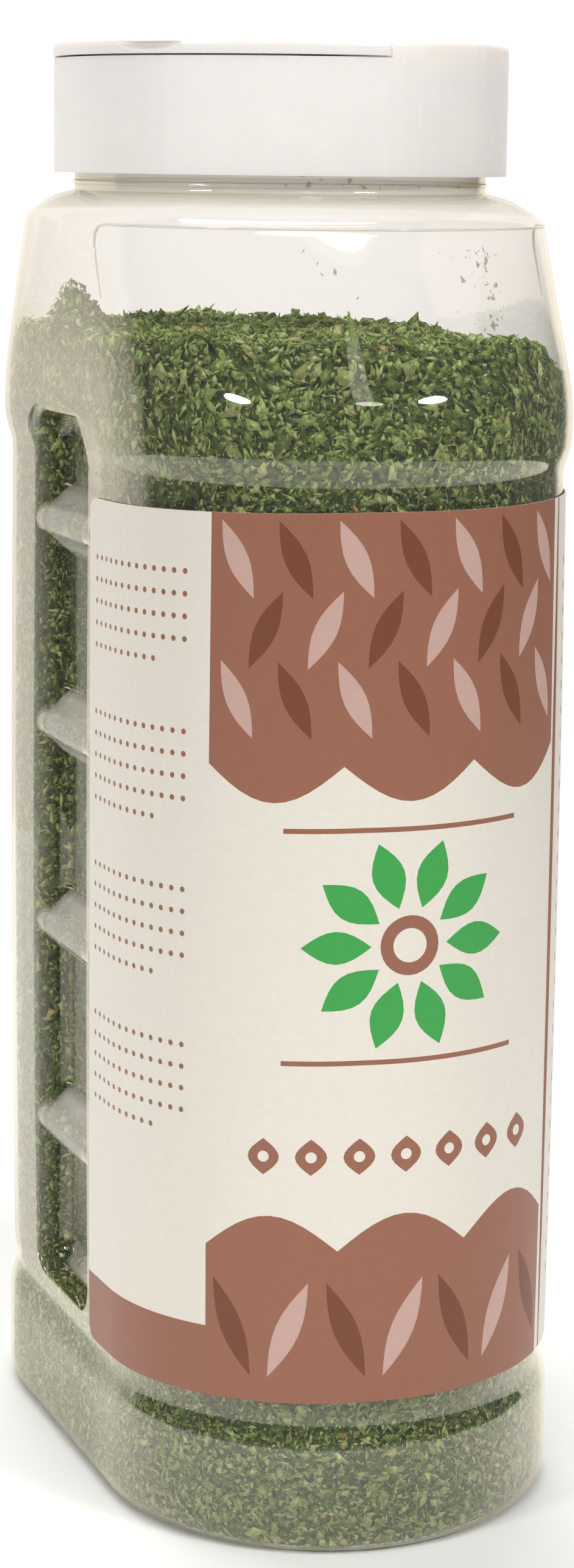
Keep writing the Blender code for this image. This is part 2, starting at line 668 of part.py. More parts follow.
def main():
    clear_scene()
    build_jar()
    build_label()
    build_parsley()
    cap_frame = bpy.data.objects.new("cap_frame", None)
    bpy.context.scene.collection.objects.link(cap_frame)
    cap_frame.rotation_euler = (0.0, 0.0, CAP_TURN)
    build_cap(cap_frame)
    build_flap(cap_frame)


main()
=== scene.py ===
"""Looks of the spice jar of dried parsley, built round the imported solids.

The jar's wall, the flakes and the print are finer pieces that stand in for the plain solids;
the cap and its flap keep the solids' own meshes. Lengths are in millimetres until a mesh is
made, where make_mesh and build_flakes turn them into metres. The front faces -Y.
"""

import math

import bmesh
import bpy
import numpy as np
from mathutils import Matrix, Vector
from mathutils.geometry import delaunay_2d_cdt


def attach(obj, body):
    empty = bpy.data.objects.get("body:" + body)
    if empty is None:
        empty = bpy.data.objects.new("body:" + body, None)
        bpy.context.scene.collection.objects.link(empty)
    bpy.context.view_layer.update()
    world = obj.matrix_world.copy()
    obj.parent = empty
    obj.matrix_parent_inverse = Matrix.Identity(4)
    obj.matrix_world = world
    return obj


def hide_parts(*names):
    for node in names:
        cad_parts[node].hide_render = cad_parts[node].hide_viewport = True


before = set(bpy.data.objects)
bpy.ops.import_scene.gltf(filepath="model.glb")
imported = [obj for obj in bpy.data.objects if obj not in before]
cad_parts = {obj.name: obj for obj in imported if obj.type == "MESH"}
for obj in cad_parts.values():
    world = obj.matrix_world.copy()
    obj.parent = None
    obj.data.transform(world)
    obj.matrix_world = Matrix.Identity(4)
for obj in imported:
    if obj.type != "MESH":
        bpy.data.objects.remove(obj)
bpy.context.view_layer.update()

MM = 0.001
SEED = 5

# Body: two half circles joined by straight sides
HALF_STRAIGHT = 21.0
WALL = 0.5
ARC_STEPS = 48
SIDE_STEPS = 9

# Outside of the jar as height, radius, half straight and how far the corner is rounded off
OUTSIDE = (
    (1.0, 24.0, 21.0, 0.0),
    (0.0, 26.5, 21.0, 1.0),
    (0.0, 33.6, 21.0, 4.4),
    (15.9, 33.6, 21.0, 1.3),
    (19.3, 32.3, 21.0, 1.3),
    (24.0, 32.9, 21.0, 1.0),
    (52.0, 33.16, 21.0, 12.0),
    (85.0, 33.26, 21.0, 12.0),
    (118.0, 33.16, 21.0, 12.0),
    (150.6, 32.9, 21.0, 1.0),
    (153.6, 34.0, 21.0, 1.6),
    (160.2, 34.1, 21.0, 3.6),
    (184.7, 34.1, 10.2, 1.7),
    (187.5, 31.4, 6.0, 1.5),
    (188.5, 30.0, 0.0, 0.5),
    (204.6, 30.0, 0.0, 0.4),
    (205.0, 29.4, 0.0, 0.0),
)

# How much a change of the half straight counts in the wall's slope
STRAIGHT_SHARE = 0.6

# Finger grip and ribs; the stretches say how much faster the grip widens at its bottom
GRIP_CENTRE = 2.2
GRIP_FLOOR = 27.6
GRIP_HALF_WIDTH = 12.2
GRIP_RIM = 1.1
GRIP_BOTTOM = 23.2
GRIP_TOP = 156.2
GRIP_SURFACE = 33.5
GRIP_CORNER = 4.6
GRIP_FLOOR_BEND = 2.2
GRIP_FLOOR_STRETCH = 1.7
GRIP_MOUTH_STRETCH = 2.0
RIB_HEIGHTS = (47.6, 78.4, 109.2, 140.0)
RIB_CREST = 32.9
RIB_BEND = 2.7
RIB_SINK = 0.9
# Half width within which the ribs and the grip's floor carry painted light, short of the grip's walls
RIB_PAINTED_LIGHT_END = GRIP_HALF_WIDTH - 2.6

# Root of a rib as height above its foot and half width
RIB_ROOT = ((0.0, 6.0), (1.4, 5.3), (3.0, 4.0))

# Bead under the cap
BEAD_HEIGHT = 189.6
BEAD_RADIUS = 29.95
BEAD_HALF = 0.4
BEAD_STAND = 0.35
BEAD_SIDES = 96

# Whitish wash of the clear wall as a share of white: faint real haze all over, painted light in places
HAZE = 0.011
# On the ribs: painted light for the bright surroundings they show, more towards the roots as painted
# highlights
RIB_PAINTED_LIGHT = 0.22
RIB_ROOT_PAINTED_HIGHLIGHT = 0.2
# Painted reflection on the grip's floor
GRIP_FLOOR_PAINTED_REFLECTION = 0.18
# Painted reflection on the strip behind the grip
BACK_PAINTED_REFLECTION = 0.18
# Painted highlight along the grip's rim
GRIP_RIM_PAINTED_HIGHLIGHT = 0.35
# Painted reflection of the floor on the base
BASE_PAINTED_FLOOR_REFLECTION = 0.03
# Painted grey-white reflection over the neck
NECK_PAINTED_REFLECTION = 0.2
# Painted highlight on the shoulder's raised line
CREASE_PAINTED_HIGHLIGHT = 0.4

# Share of its gloss that the wall lacks
INNER_DULL = 0.9
RIB_DULL = 0.6
BACK_DULL = 0.3
FAR_DULL = 0.7
TURN_DULL = 0.6
BASE_DULL = 0.35

# Zones of the wall, as heights or places along y; the side base as its start and fade
BASE_TOP = 16.4
LEDGE_TOP = 19.0
SIDE_BASE = (-24.0, 12.0)
BEHIND_GRIP = 13.8
FAR_SHOULDER = (158.0, 183.0)
SHOULDER_TURN = (182.6, 188.0)
NECK_START = 185.5

# Mound of flakes
MOUND_HEIGHT = 168.1
MOUND_BEND = 12.0
MOUND_FALL = 0.018
MOUND_TILT = 0.03
MOUND_EDGE = 160.6

# Small heap against the left wall as its place, spread and height
CLUMP = (-31.5, 3.0)
CLUMP_SPREAD = (3.4, 5.0)
CLUMP_HEIGHT = 6.5

# Thinner wall at the foot, and the radius inside which it is the bottom
FOOT_TOP = 6.0
FOOT_SHARE = 0.4
FOOT_RADIUS = 29.5

# Packed core: its gap to the wall, the step of its rows, and the lowest as height and radius
CORE_GAP = 1.1
CORE_ROW = 3.2
CORE_FOOT = ((0.45, 30.2), (0.75, 31.1), (1.35, 31.9), (2.2, 32.3))

# Loose flakes: how many in all and in a rib, the heights between pieces, the gap to the wall
FLAKES = 134000
RIB_FLAKES = 50
FLAKE_SPLITS = (24.0, 90.0)
FLAKE_GAP = 0.12

# Half length as a gamma distribution with its limits, the share of short ones, and the
# factor by height
FLAKE_LENGTH = (5.0, 0.135)
FLAKE_LIMITS = (0.3, 2.0)
SHORT_FLAKES = 0.55
FLAKE_GROWTH = ((18.0, 40.0, 140.0, 158.0), (0.85, 1.0, 1.0, 1.2))

# Single flakes on the wall as middle and spread across, lowest and highest, and how many
DUST = (
    (12.0, 1.8, 169.5, 181.5, 46),
    (13.0, 0.9, 171.0, 177.0, 22),
    (-6.0, 14.0, 169.0, 182.0, 16),
    (0.0, 14.0, 189.2, 190.8, 24),
)

# Bits of stem as start, end and thickness
STALKS = (
    ((-8.7, -48.9, 168.2), (-9.9, -49.6, 173.6), 0.42),
    ((-8.9, -49.0, 168.6), (-8.2, -49.5, 171.2), 0.3),
    ((8.5, -47.6, 167.0), (9.4, -48.6, 170.2), 0.26),
)

# Raised line of the shoulder as angle in plan and height, from its low end to the top corner
CREASE = ((6.0, 174.0), (6.0, 176.5), (6.0, 179.0), (6.2, 181.2), (7.4, 182.8), (9.6, 183.8), (12.5, 184.1))
CREASE_SIZE = 0.2

# Clear plastic
CLEAR_TINT = (0.986, 0.975, 0.962, 1.0)
GLOSS_TINT = (1.0, 0.95, 0.83, 1.0)
GLOSS_LEAST = 0.08
GLOSS_POWER = 2.6
# Colour of the whitish layer that carries faint haze and painted light
HAZE_AND_PAINTED_LIGHT_COLOUR = (0.86, 0.83, 0.77, 1.0)

# Label, and where it starts to dip on its way to the left
LABEL_RADIUS = 33.2
LABEL_GAP = 0.16
LABEL_THICKNESS = 0.2
LABEL_BOTTOM = 22.85
LABEL_TOP = 147.2
LABEL_TILT = 0.026
TILT_START = -8.0
LABEL_EDGE = 12.2
LABEL_HALF = math.pi / 2 * LABEL_RADIUS + HALF_STRAIGHT - LABEL_EDGE
LABEL_CORNER = 2.2
LABEL_COLUMNS = 76
LABEL_ROWS = 18
CUT_STEP = 1.6

# Panel under the label: middle, half height, radius at its ends and how far it bulges
PANEL_MIDDLE = 85.0
PANEL_HALF = 65.6
PANEL_RADIUS = 32.9
PANEL_BULGE = 0.36

# Print: the bands' sides and leaves, the ring of leaves, and the rules above and below it
BAND_LEFT = -29.9
BAND_RIGHT = 26.7
LEAF_PITCH = 8.1
EMBLEM = (-1.6, 88.0)
EMBLEM_RADIUS = 10.2
EMBLEM_LEAVES = 10
RULE_HALF = 17.5
RULE_OFF = 16.2

# Inks of the print in sRGB
INKS = {
    "cream": (227, 221, 209),
    "brown": (150, 100, 80),
    "dark": (118, 68, 46),
    "pale": (196, 162, 152),
    "green": (62, 160, 76),
}

# Stage
FLOOR_RADII = (150.0, 300.0, 460.0)
FLOOR_SIDES = 128

# Lights as name, place, aim, width and height in metres, and power in watts
AIM = (0.0, 0.0, 0.1)
LIGHTS = (
    ("left_box", (-1.38, -0.58, 0.69), AIM, 0.34, 0.13, 7.5),
    ("right_box", (0.74, -1.34, 0.99), AIM, 0.42, 0.15, 11.0),
    ("middle_spot", (-0.09, -1.33, 0.86), AIM, 0.32, 0.1, 0.42),
    ("middle_strip", (-0.13, -1.22, 0.99), AIM, 0.22, 0.46, 0.36),
    ("top_box", (-0.3, -1.0, 1.75), (0.0, 0.0, 0.12), 1.6, 0.6, 13.5),
    ("rear_box", (0.0, 0.6, 1.7), (0.0, 0.4, 0.0), 1.2, 0.8, 18.0),
)

# Studio: dim in front, bright behind the jar, plain white where the camera sees it
STUDIO_STRENGTH = 0.58
STUDIO_DIM = (0.24, 0.24, 0.23, 1.0)
STUDIO_BRIGHT = (1.7, 1.63, 1.55, 1.0)
STUDIO_EDGE = (0.765, 0.822)
BACKDROP = (1.8, 1.8, 1.8, 1.0)

# Camera fitted to the photo: yaw, pitch and roll, place in metres, the rest in its pixels
CAMERA_TURNS = (0.3873, 0.1687, -0.0118)
CAMERA_PLACE = (-0.17880, -0.44547, 0.19494)
PHOTO_SIZE = (943, 2576)
FOCAL_LENGTH = 5320.1
OPTICAL_CENTRE = (480.57, 1147.15)
SENSOR = 36.0


# Meshes


def add_object(name, data):
    thing = bpy.data.objects.new(name, data)
    bpy.context.scene.collection.objects.link(thing)
    return thing


def make_mesh(name, points, faces, smooth=True):
    mesh = bpy.data.meshes.new(name)
    mesh.from_pydata([(x * MM, y * MM, z * MM) for x, y, z in points], [], faces)
    mesh.update()
    if smooth:
        mesh.polygons.foreach_set("use_smooth", [True] * len(mesh.polygons))
    return add_object(name, mesh)


def turns(count):
    """The angles of even steps round a circle."""
    return [2 * math.pi * i / count for i in range(count)]


def band_faces(count, rings, base=0, closed=False):
    """Quads between rings of points, and from the last back to the first where closed."""
    faces = []
    for k in range(rings if closed else rings - 1):
        low, high = base + k * count, base + (k + 1) % rings * count
        for i in range(count):
            j = (i + 1) % count
            faces.append((low + i, low + j, high + j, high + i))
    return faces


def solid_faces(count, rings, base=0):
    """The quads between rings of points and a face at either end."""
    last = base + (rings - 1) * count
    ends = [tuple(range(base, base + count))[::-1], tuple(range(last, last + count))]
    return band_faces(count, rings, base) + ends


def point_vectors(mesh, kind):
    """Place or normal of every point, in rows."""
    values = np.empty(len(mesh.vertices) * 3)
    mesh.vertices.foreach_get(kind, values)
    return values.reshape(-1, 3)


def store_value(thing, name, values):
    attribute = thing.data.attributes.new(name, "FLOAT", "POINT")
    attribute.data.foreach_set("value", values)


def face_outward(thing):
    bm = bmesh.new()
    bm.from_mesh(thing.data)
    bm.normal_update()
    bmesh.ops.recalc_face_normals(bm, faces=bm.faces)
    bm.to_mesh(thing.data)
    bm.free()
    return thing


def combine(target, tool, operation, solver="EXACT"):
    modifier = target.modifiers.new(operation.lower(), "BOOLEAN")
    modifier.operation = operation
    modifier.solver = solver
    modifier.object = tool
    bpy.context.view_layer.update()
    evaluated = target.evaluated_get(bpy.context.evaluated_depsgraph_get())
    mesh = bpy.data.meshes.new_from_object(evaluated)
    target.modifiers.clear()
    target.data = mesh
    bpy.data.objects.remove(tool)


def soften(thing, degrees):
    thing.data.polygons.foreach_set("use_smooth", [True] * len(thing.data.polygons))
    thing.data.set_sharp_from_angle(angle=math.radians(degrees))


def loft(name, loops):
    """A closed solid through loops with as many points each."""
    points = [point for loop in loops for point in loop]
    return face_outward(make_mesh(name, points, solid_faces(len(loops[0]), len(loops))))


def plan_loop(radius, straight, height):
    """The plan of the body; as the straight sides shrink it turns into an even circle."""
    count = 2 * (ARC_STEPS + SIDE_STEPS)
    roundness = 1.0 - straight / HALF_STRAIGHT
    points = []
    for end in (-1, 1):
        for i in range(ARC_STEPS + 1):
            plain = math.pi * i / ARC_STEPS
            even = math.pi / 2 + (i / ARC_STEPS - 0.5) * 2 * math.pi * ARC_STEPS / count
            angle = plain + (even - plain) * roundness
            y = end * (straight + radius * math.sin(angle))
            points.append((end * -radius * math.cos(angle), y, height))
        for k in range(1, SIDE_STEPS):
            share = 1 - 2 * k / SIDE_STEPS
            even = share * math.pi * SIDE_STEPS / count * roundness
            y = end * (straight * share + radius * math.sin(even))
            points.append((end * radius * math.cos(even), y, height))
    return points


def rounded_rows(corners, steps=5):
    """Rows of the profile with each corner turned into a short curve."""
    rows = []
    last = len(corners) - 1
    for k, (*corner, size) in enumerate(corners):
        middle = Vector(corner)
        if k in (0, last) or size == 0:
            rows.append(tuple(middle))
            continue
        before = Vector(corners[k - 1][:3])
        after = Vector(corners[k + 1][:3])
        start = middle + (before - middle) * min(0.48, size / (before - middle).length)
        end = middle + (after - middle) * min(0.48, size / (after - middle).length)
        for i in range(steps + 1):
            t = i / steps
            rows.append(tuple(start * (1 - t) ** 2 + middle * (2 * t * (1 - t)) + end * t * t))
    return rows


def inset_rows(rows, depth):
    """The profile moved inwards by the depth, square to its own slope; less at the foot."""
    moved = []
    for k, row in enumerate(rows):
        inwards = depth * np.interp(row[0], (0.0, FOOT_TOP), (FOOT_SHARE, 1.0))
        before = rows[max(0, k - 1)]
        after = rows[min(len(rows) - 1, k + 1)]
        rise = after[0] - before[0]
        out = after[1] + after[2] * STRAIGHT_SHARE - before[1] - before[2] * STRAIGHT_SHARE
        length = math.hypot(rise, out) or 1.0
        moved.append((row[0] + inwards * out / length, row[1] - inwards * rise / length, row[2]))
    return moved


def rounded_box(middle, half, corner, steps):
    """Outline of a rectangle with round corners, from its middle and half sizes."""
    points = []
    for quarter, (sa, sz) in enumerate(((1, 1), (-1, 1), (-1, -1), (1, -1))):
        for i in range(steps + 1):
            angle = math.radians(90 * quarter + 90 * i / steps)
            a = middle[0] + sa * (half[0] - corner) + corner * math.cos(angle)
            z = middle[1] + sz * (half[1] - corner) + corner * math.sin(angle)
            points.append((a, z))
    return points


def grip_cutter(side, grow):
    """The space of a finger grip with rounded floor and rim, larger all round by grow."""
    floor = GRIP_FLOOR - grow
    mouth = GRIP_SURFACE - grow
    low = GRIP_BOTTOM - grow
    high = GRIP_TOP + grow
    half = GRIP_HALF_WIDTH + grow
    rim = GRIP_RIM
    bend = GRIP_FLOOR_BEND
    angles = [math.radians(18 * k) for k in range(6)]
    near_floor = [(floor + bend - bend * math.cos(a), -bend + bend * math.sin(a)) for a in angles]
    near_mouth = [(mouth - rim + rim * math.sin(a), rim - rim * math.cos(a)) for a in angles]
    near_mouth.append((mouth + 5.0, rim))
    section = [(*place, GRIP_FLOOR_STRETCH) for place in near_floor]
    section += [(*place, GRIP_MOUTH_STRETCH) for place in near_mouth]
    loops = []
    for depth, widen, stretch in section:
        bottom = low - widen * stretch
        top = high + widen
        middle = (GRIP_CENTRE, (bottom + top) / 2)
        halves = (half + widen, (top - bottom) / 2)
        box = rounded_box(middle, halves, max(bend, GRIP_CORNER + widen), 7)
        loops.append([(side * depth, y, z) for y, z in box])
    return loft("grip_space", loops)


def rib_bars(side, inset, half_length):
    """The ribs of one grip, rounded at the crest and flared at the root.

    Rows along y let the painted light of their middle end before the grip's walls.
    """
    points = []
    faces = []
    crest = RIB_CREST - inset
    root = GRIP_FLOOR - RIB_SINK - inset
    section = [(root + up, -half + inset) for up, half in RIB_ROOT]
    for k in range(9):
        angle = math.radians(-64 + 16 * k)
        bend = RIB_BEND - 0.5 * inset
        section.append((crest - bend + bend * math.cos(angle), bend * math.sin(angle)))
    section += [(x, -z) for x, z in section[2::-1]]
    end = RIB_PAINTED_LIGHT_END
    stops = (-half_length, -end, 1 - end, 0, end - 1, end, half_length)
    for height in RIB_HEIGHTS:
        base = len(points)
        for stop in stops:
            points += [(side * x, GRIP_CENTRE + stop, height + z) for x, z in section]
        faces += solid_faces(len(section), len(stops), base)
    return face_outward(make_mesh("ribs", points, faces))


def wall_table(depth):
    """Heights, radii and half straights of the profile at a depth, for interpolation."""
    rows = inset_rows(rounded_rows(OUTSIDE), depth)
    rows = [row for row in rows if row[0] > FOOT_TOP or row[1] > FOOT_RADIUS]
    return [np.array(column) for column in zip(*sorted(rows))]


def build_jar():
    rows = rounded_rows(OUTSIDE)
    jar = loft("clear_jar", [plan_loop(r, s, z) for z, r, s in rows])
    for side in (-1, 1):
        combine(jar, grip_cutter(side, 0.0), "DIFFERENCE")
        combine(jar, rib_bars(side, 0.0, GRIP_HALF_WIDTH + GRIP_RIM), "UNION")
    inner = inset_rows(rows, WALL)
    inner[-1] = (OUTSIDE[-1][0] + 1.0, inner[-2][1], 0.0)
    space = loft("jar_space", [plan_loop(r, max(0.0, s), z) for z, r, s in inner])
    for side in (-1, 1):
        combine(space, grip_cutter(side, WALL), "DIFFERENCE")
        combine(space, rib_bars(side, WALL, GRIP_HALF_WIDTH + 0.3), "UNION")
    combine(jar, space, "DIFFERENCE")
    soften(jar, 30)
    mark_wall(jar)
    return jar


def mark_wall(jar):
    """Stores the wall's haze, its painted light and its lack of gloss as point values for its material.

    The whitish wash is a faint real haze all over and painted light in places: on the ribs it
    stands for the bright surroundings they show, with painted highlights towards their roots;
    on the grip's floor, the strip behind the grip, the base and the neck it is painted
    reflection, and along the grip's rim a painted highlight. The inside, the ribs, the turn
    of the shoulder and the sides away from the front have less gloss.
    """
    x, y, z = point_vectors(jar.data, "co").T / MM
    normal_x, normal_y, _ = point_vectors(jar.data, "normal").T
    across = np.abs(y - GRIP_CENTRE)
    outward = np.abs(x)
    rib = np.min([np.abs(z - height) for height in RIB_HEIGHTS], axis=0)
    middle = np.clip(y, -HALF_STRAIGHT, HALF_STRAIGHT)

    level = (z > GRIP_BOTTOM - 1) & (z < GRIP_TOP + 1)
    in_rib = (outward > 28.0) & (rib < 6.4) & (across < GRIP_HALF_WIDTH - 3.0)
    floor = level & (outward > 26.4) & (outward < 28.6) & (across < RIB_PAINTED_LIGHT_END)
    behind = level & (outward > 31.6) & (y > BEHIND_GRIP)
    rim_off = np.abs(across - GRIP_HALF_WIDTH - GRIP_RIM + 0.1)
    rim = level & (rim_off < 0.35) & (outward > RIB_CREST)
    base = (z < BASE_TOP) | ((z > LEDGE_TOP) & (z < LABEL_BOTTOM) & (y < -LABEL_EDGE))
    side_base = (z < LEDGE_TOP + 1) & (outward > 25) & (y > SIDE_BASE[0])
    far = (z > FAR_SHOULDER[0]) & (z < FAR_SHOULDER[1]) & (y > 4.0) & (x > -8.0)
    turn = (z > SHOULDER_TURN[0]) & (z < SHOULDER_TURN[1])
    turned_in = normal_x * x + normal_y * (y - middle) < -2.0

    back_fade = np.clip((y - BEHIND_GRIP) / 1.5, 0, 1) * np.clip((32.0 - y) / 10.0, 0, 1)
    # Painted light on the ribs, rising towards their roots as painted highlights along the flanks
    rib_painted_share = RIB_PAINTED_LIGHT + RIB_ROOT_PAINTED_HIGHLIGHT * np.clip((rib - 2.2) / 2.5, 0, 1)
    # Painted highlight on the grip's rim, painted reflections on the strip behind the grip and on the
    # grip's floor
    shares = [GRIP_RIM_PAINTED_HIGHLIGHT, BACK_PAINTED_REFLECTION * back_fade, GRIP_FLOOR_PAINTED_REFLECTION, rib_painted_share]
    haze_and_painted_light = np.select([rim, behind, floor, in_rib], shares)
    # Painted reflection of the floor on the base
    haze_and_painted_light = np.where(base & (haze_and_painted_light == 0), BASE_PAINTED_FLOOR_REFLECTION, haze_and_painted_light)
    # Painted grey-white reflection over the neck; elsewhere at least the faint real haze
    haze_and_painted_light = np.where(z > NECK_START, NECK_PAINTED_REFLECTION, np.maximum(haze_and_painted_light, HAZE))

    side_fade = np.clip((y - SIDE_BASE[0]) / SIDE_BASE[1], 0, 1)
    dull = np.max([
        turned_in * INNER_DULL,
        in_rib * RIB_DULL,
        behind * BACK_DULL,
        far * FAR_DULL,
        turn * TURN_DULL,
        side_base * BASE_DULL * side_fade,
    ], axis=0)
    store_value(jar, "dull", dull)
    store_value(jar, "haze_and_painted_light", haze_and_painted_light)


def build_neck_bead():
    """The bead under the cap, a closed ring with a half-round outside."""
    points = []
    for k in range(7):
        angle = math.pi * k / 6
        radius = BEAD_RADIUS + BEAD_STAND * math.sin(angle)
        z = BEAD_HEIGHT - BEAD_HALF * math.cos(angle)
        points += [(radius * math.cos(a), radius * math.sin(a), z) for a in turns(BEAD_SIDES)]
    return face_outward(make_mesh("neck_bead", points, band_faces(BEAD_SIDES, 7, closed=True)))


# Dried parsley


def mound_height(x, y):
    """Height of the mound's top, with the small heap.

    It falls to the right past its bend, and gently backwards.
    """
    fall = MOUND_FALL * max(0.0, x - MOUND_BEND) ** 2
    away = ((x - CLUMP[0]) / CLUMP_SPREAD[0]) ** 2 + ((y - CLUMP[1]) / CLUMP_SPREAD[1]) ** 2
    return MOUND_HEIGHT - fall - MOUND_TILT * max(0.0, y) + CLUMP_HEIGHT * math.exp(-away)


def core_loops(depth, rng):
    """Loops of the core at a depth inside the outer wall, up to the mound's edge."""
    heights, radii, straights = wall_table(depth)
    loops = [plan_loop(radius, HALF_STRAIGHT, z) for z, radius in CORE_FOOT]
    for z in np.concatenate([np.arange(3.4, 159.5, CORE_ROW), [MOUND_EDGE]]):
        radius = np.interp(z, heights, radii)
        loops.append(plan_loop(radius, HALF_STRAIGHT, z))
    rim = loops[-1]
    for share in (0.34, 0.67, 1.0):
        loop = []
        for x, y, _ in rim:
            rise = mound_height(x, y) - MOUND_EDGE
            z = MOUND_EDGE + rise * share + 0.4 * rng.standard_normal()
            radius = np.interp(z, heights, radii)
            straight = np.interp(z, heights, straights)
            middle = max(-HALF_STRAIGHT, min(HALF_STRAIGHT, y))
            out = Vector((x, y - middle)).normalized() * radius
            loop.append((out.x, middle / HALF_STRAIGHT * straight + out.y, z))
        loops.append(loop)
    return loops


def build_core(rng):
    """A rough dark body of packed leaf, a little inside the wall and the grips."""
    depth = WALL + CORE_GAP
    loops = core_loops(depth, rng)
    count = len(loops[0])
    points = [point for loop in loops for point in loop]
    faces = band_faces(count, len(loops))
    faces.append(tuple(range(count))[::-1])
    rim = loops[-1]
    edge_radius = max(abs(x) for x, _, _ in rim)
    edge_straight = max(abs(y) for _, y, _ in rim) - edge_radius
    flat = [Vector((x, y)) for x, y, _ in rim]
    for row in range(-40, 41):
        for column in range(-24, 25):
            x = (column + 0.5 * (row % 2)) * 1.6 + rng.uniform(-0.4, 0.4)
            y = row * 1.5 + rng.uniform(-0.4, 0.4)
            middle = max(-edge_straight, min(edge_straight, y))
            if math.hypot(x, y - middle) < edge_radius - 1.2:
                flat.append(Vector((x, y)))
    found = delaunay_2d_cdt(flat, [], [list(range(count))], 1, 1e-6)
    base = len(points) - count
    for x, y in found[0][count:]:
        points.append((x, y, mound_height(x, y) + mound_lumps(x, y) + rng.uniform(-0.5, 0.5)))
    faces += [tuple(base + i for i in corners) for corners in found[2]]
    core = face_outward(make_mesh("parsley_core", points, faces))
    for side in (-1, 1):
        combine(core, grip_cutter(side, depth), "DIFFERENCE", "MANIFOLD")
    return core


def mound_lumps(x, y):
    """Soft unevenness of the mound's top."""
    return 0.8 * math.sin(0.21 * x + 0.7) * math.sin(0.17 * y + 0.4) + 0.4 * math.sin(0.5 * x - 0.43 * y)


def sample_core(core, count, rng):
    """Random points on the core with their normals.

    They are dense on the mound and in the base, few below and none behind the label.
    """
    mesh = core.data
    mesh.calc_loop_triangles()
    places = point_vectors(mesh, "co") / MM
    corners = np.empty(len(mesh.loop_triangles) * 3, dtype=np.int64)
    mesh.loop_triangles.foreach_get("vertices", corners)
    a, b, c = places[corners.reshape(-1, 3)].transpose(1, 0, 2)
    cross = np.cross(b - a, c - a)
    area = np.linalg.norm(cross, axis=1)
    normal = cross / np.maximum(area, 1e-9)[:, None]
    middle = (a + b + c) / 3
    hidden = (middle[:, 1] < -LABEL_EDGE - 1) & (middle[:, 2] > 26) & (middle[:, 2] < 141)
    weight = area * ~hidden
    weight *= np.where(normal[:, 2] > 0.5, 1.8, 1.0)
    weight *= np.where(normal[:, 2] < -0.8, 0.15, 1.0)
    weight *= np.where(middle[:, 2] < FLAKE_SPLITS[0], 1.7, 1.0)
    chosen = rng.choice(len(weight), size=count, p=weight / weight.sum())
    u = rng.random(count)
    v = rng.random(count)
    flip = u + v > 1
    u[flip], v[flip] = 1 - u[flip], 1 - v[flip]
    spot = a[chosen] + u[:, None] * (b - a)[chosen] + v[:, None] * (c - a)[chosen]
    return spot, normal[chosen]


def keep_inside(points):
    """Moves points back to just inside the wall and out of the grips, by the shorter way."""
    gap = WALL + FLAKE_GAP
    heights, radii, straights = wall_table(gap)
    z = np.maximum(points[:, 2], CORE_FOOT[0][0])
    radius = np.interp(z, heights, radii)
    straight = np.interp(z, heights, straights)
    middle = np.clip(points[:, 1], -straight, straight)
    out = points[:, :2] - np.stack([np.zeros_like(middle), middle], axis=1)
    length = np.maximum(np.linalg.norm(out, axis=1), 1e-6)
    shrink = np.minimum(1.0, radius / length)
    x = out[:, 0] * shrink
    y = middle + out[:, 1] * shrink
    flare = np.clip(np.abs(x) - (GRIP_SURFACE - GRIP_RIM), 0, GRIP_RIM)
    grip_middle = (GRIP_TOP + GRIP_BOTTOM) / 2
    over_x = np.abs(x) - (GRIP_FLOOR - gap)
    over_y = GRIP_HALF_WIDTH + gap + flare - np.abs(y - GRIP_CENTRE)
    over_z = (GRIP_TOP - GRIP_BOTTOM) / 2 + gap + flare - np.abs(z - grip_middle)
    least = np.minimum(np.minimum(over_x, over_y), over_z)
    in_grip = least > 0
    x = np.where(in_grip & (over_x == least), x - np.sign(x) * over_x, x)
    y = np.where(in_grip & (over_y == least), y + np.sign(y - GRIP_CENTRE) * over_y, y)
    z = np.where(in_grip & (over_z == least), z + np.sign(z - grip_middle) * over_z, z)
    return np.stack([x, y, z], axis=1)


def keep_in_ribs(points):
    """Moves points of the flakes in the ribs back between the ribs' walls."""
    x, y, z = points.T
    height = np.array(RIB_HEIGHTS)[np.argmin(np.abs(z[:, None] - RIB_HEIGHTS), axis=1)]
    depth = np.clip(np.abs(x), GRIP_FLOOR - 1.5, RIB_CREST - 2 * WALL) - GRIP_FLOOR
    half = np.interp(depth, (-1.5, 2.4, 3.4, 4.3), (4.8, 2.9, 2.0, 0.8))
    y = np.clip(y, GRIP_CENTRE - GRIP_HALF_WIDTH, GRIP_CENTRE + GRIP_HALF_WIDTH)
    z = np.clip(z, height - half, height + half)
    return np.stack([np.sign(x) * (depth + GRIP_FLOOR), y, z], axis=1)


def turn_both(first, second, angle):
    """Two directions square to each other, turned by the angle in their plane."""
    cosine = np.cos(angle)
    sine = np.sin(angle)
    return first * cosine + second * sine, second * cosine - first * sine


def sliver_frames(normal, on_top, rng):
    """Random directions along, across and out of each flake, most lying flat on the wall."""
    count = len(normal)
    helper = np.where(np.abs(normal[:, 2:3]) > 0.9, [[1.0, 0.0, 0.0]], [[0.0, 0.0, 1.0]])
    side = np.cross(normal, helper)
    side /= np.linalg.norm(side, axis=1)[:, None]
    up = np.cross(normal, side)
    spin = rng.uniform(0, 2 * np.pi, count)[:, None]
    along, _ = turn_both(side, up, spin)
    roll = rng.normal(0, np.where(on_top, 0.6, 0.38))[:, None]
    over, face = turn_both(np.cross(normal, along), normal, roll)
    rise = rng.normal(0, np.where(on_top, 0.5, 0.22))[:, None]
    along, face = turn_both(along, face, rise)
    return along, over, face


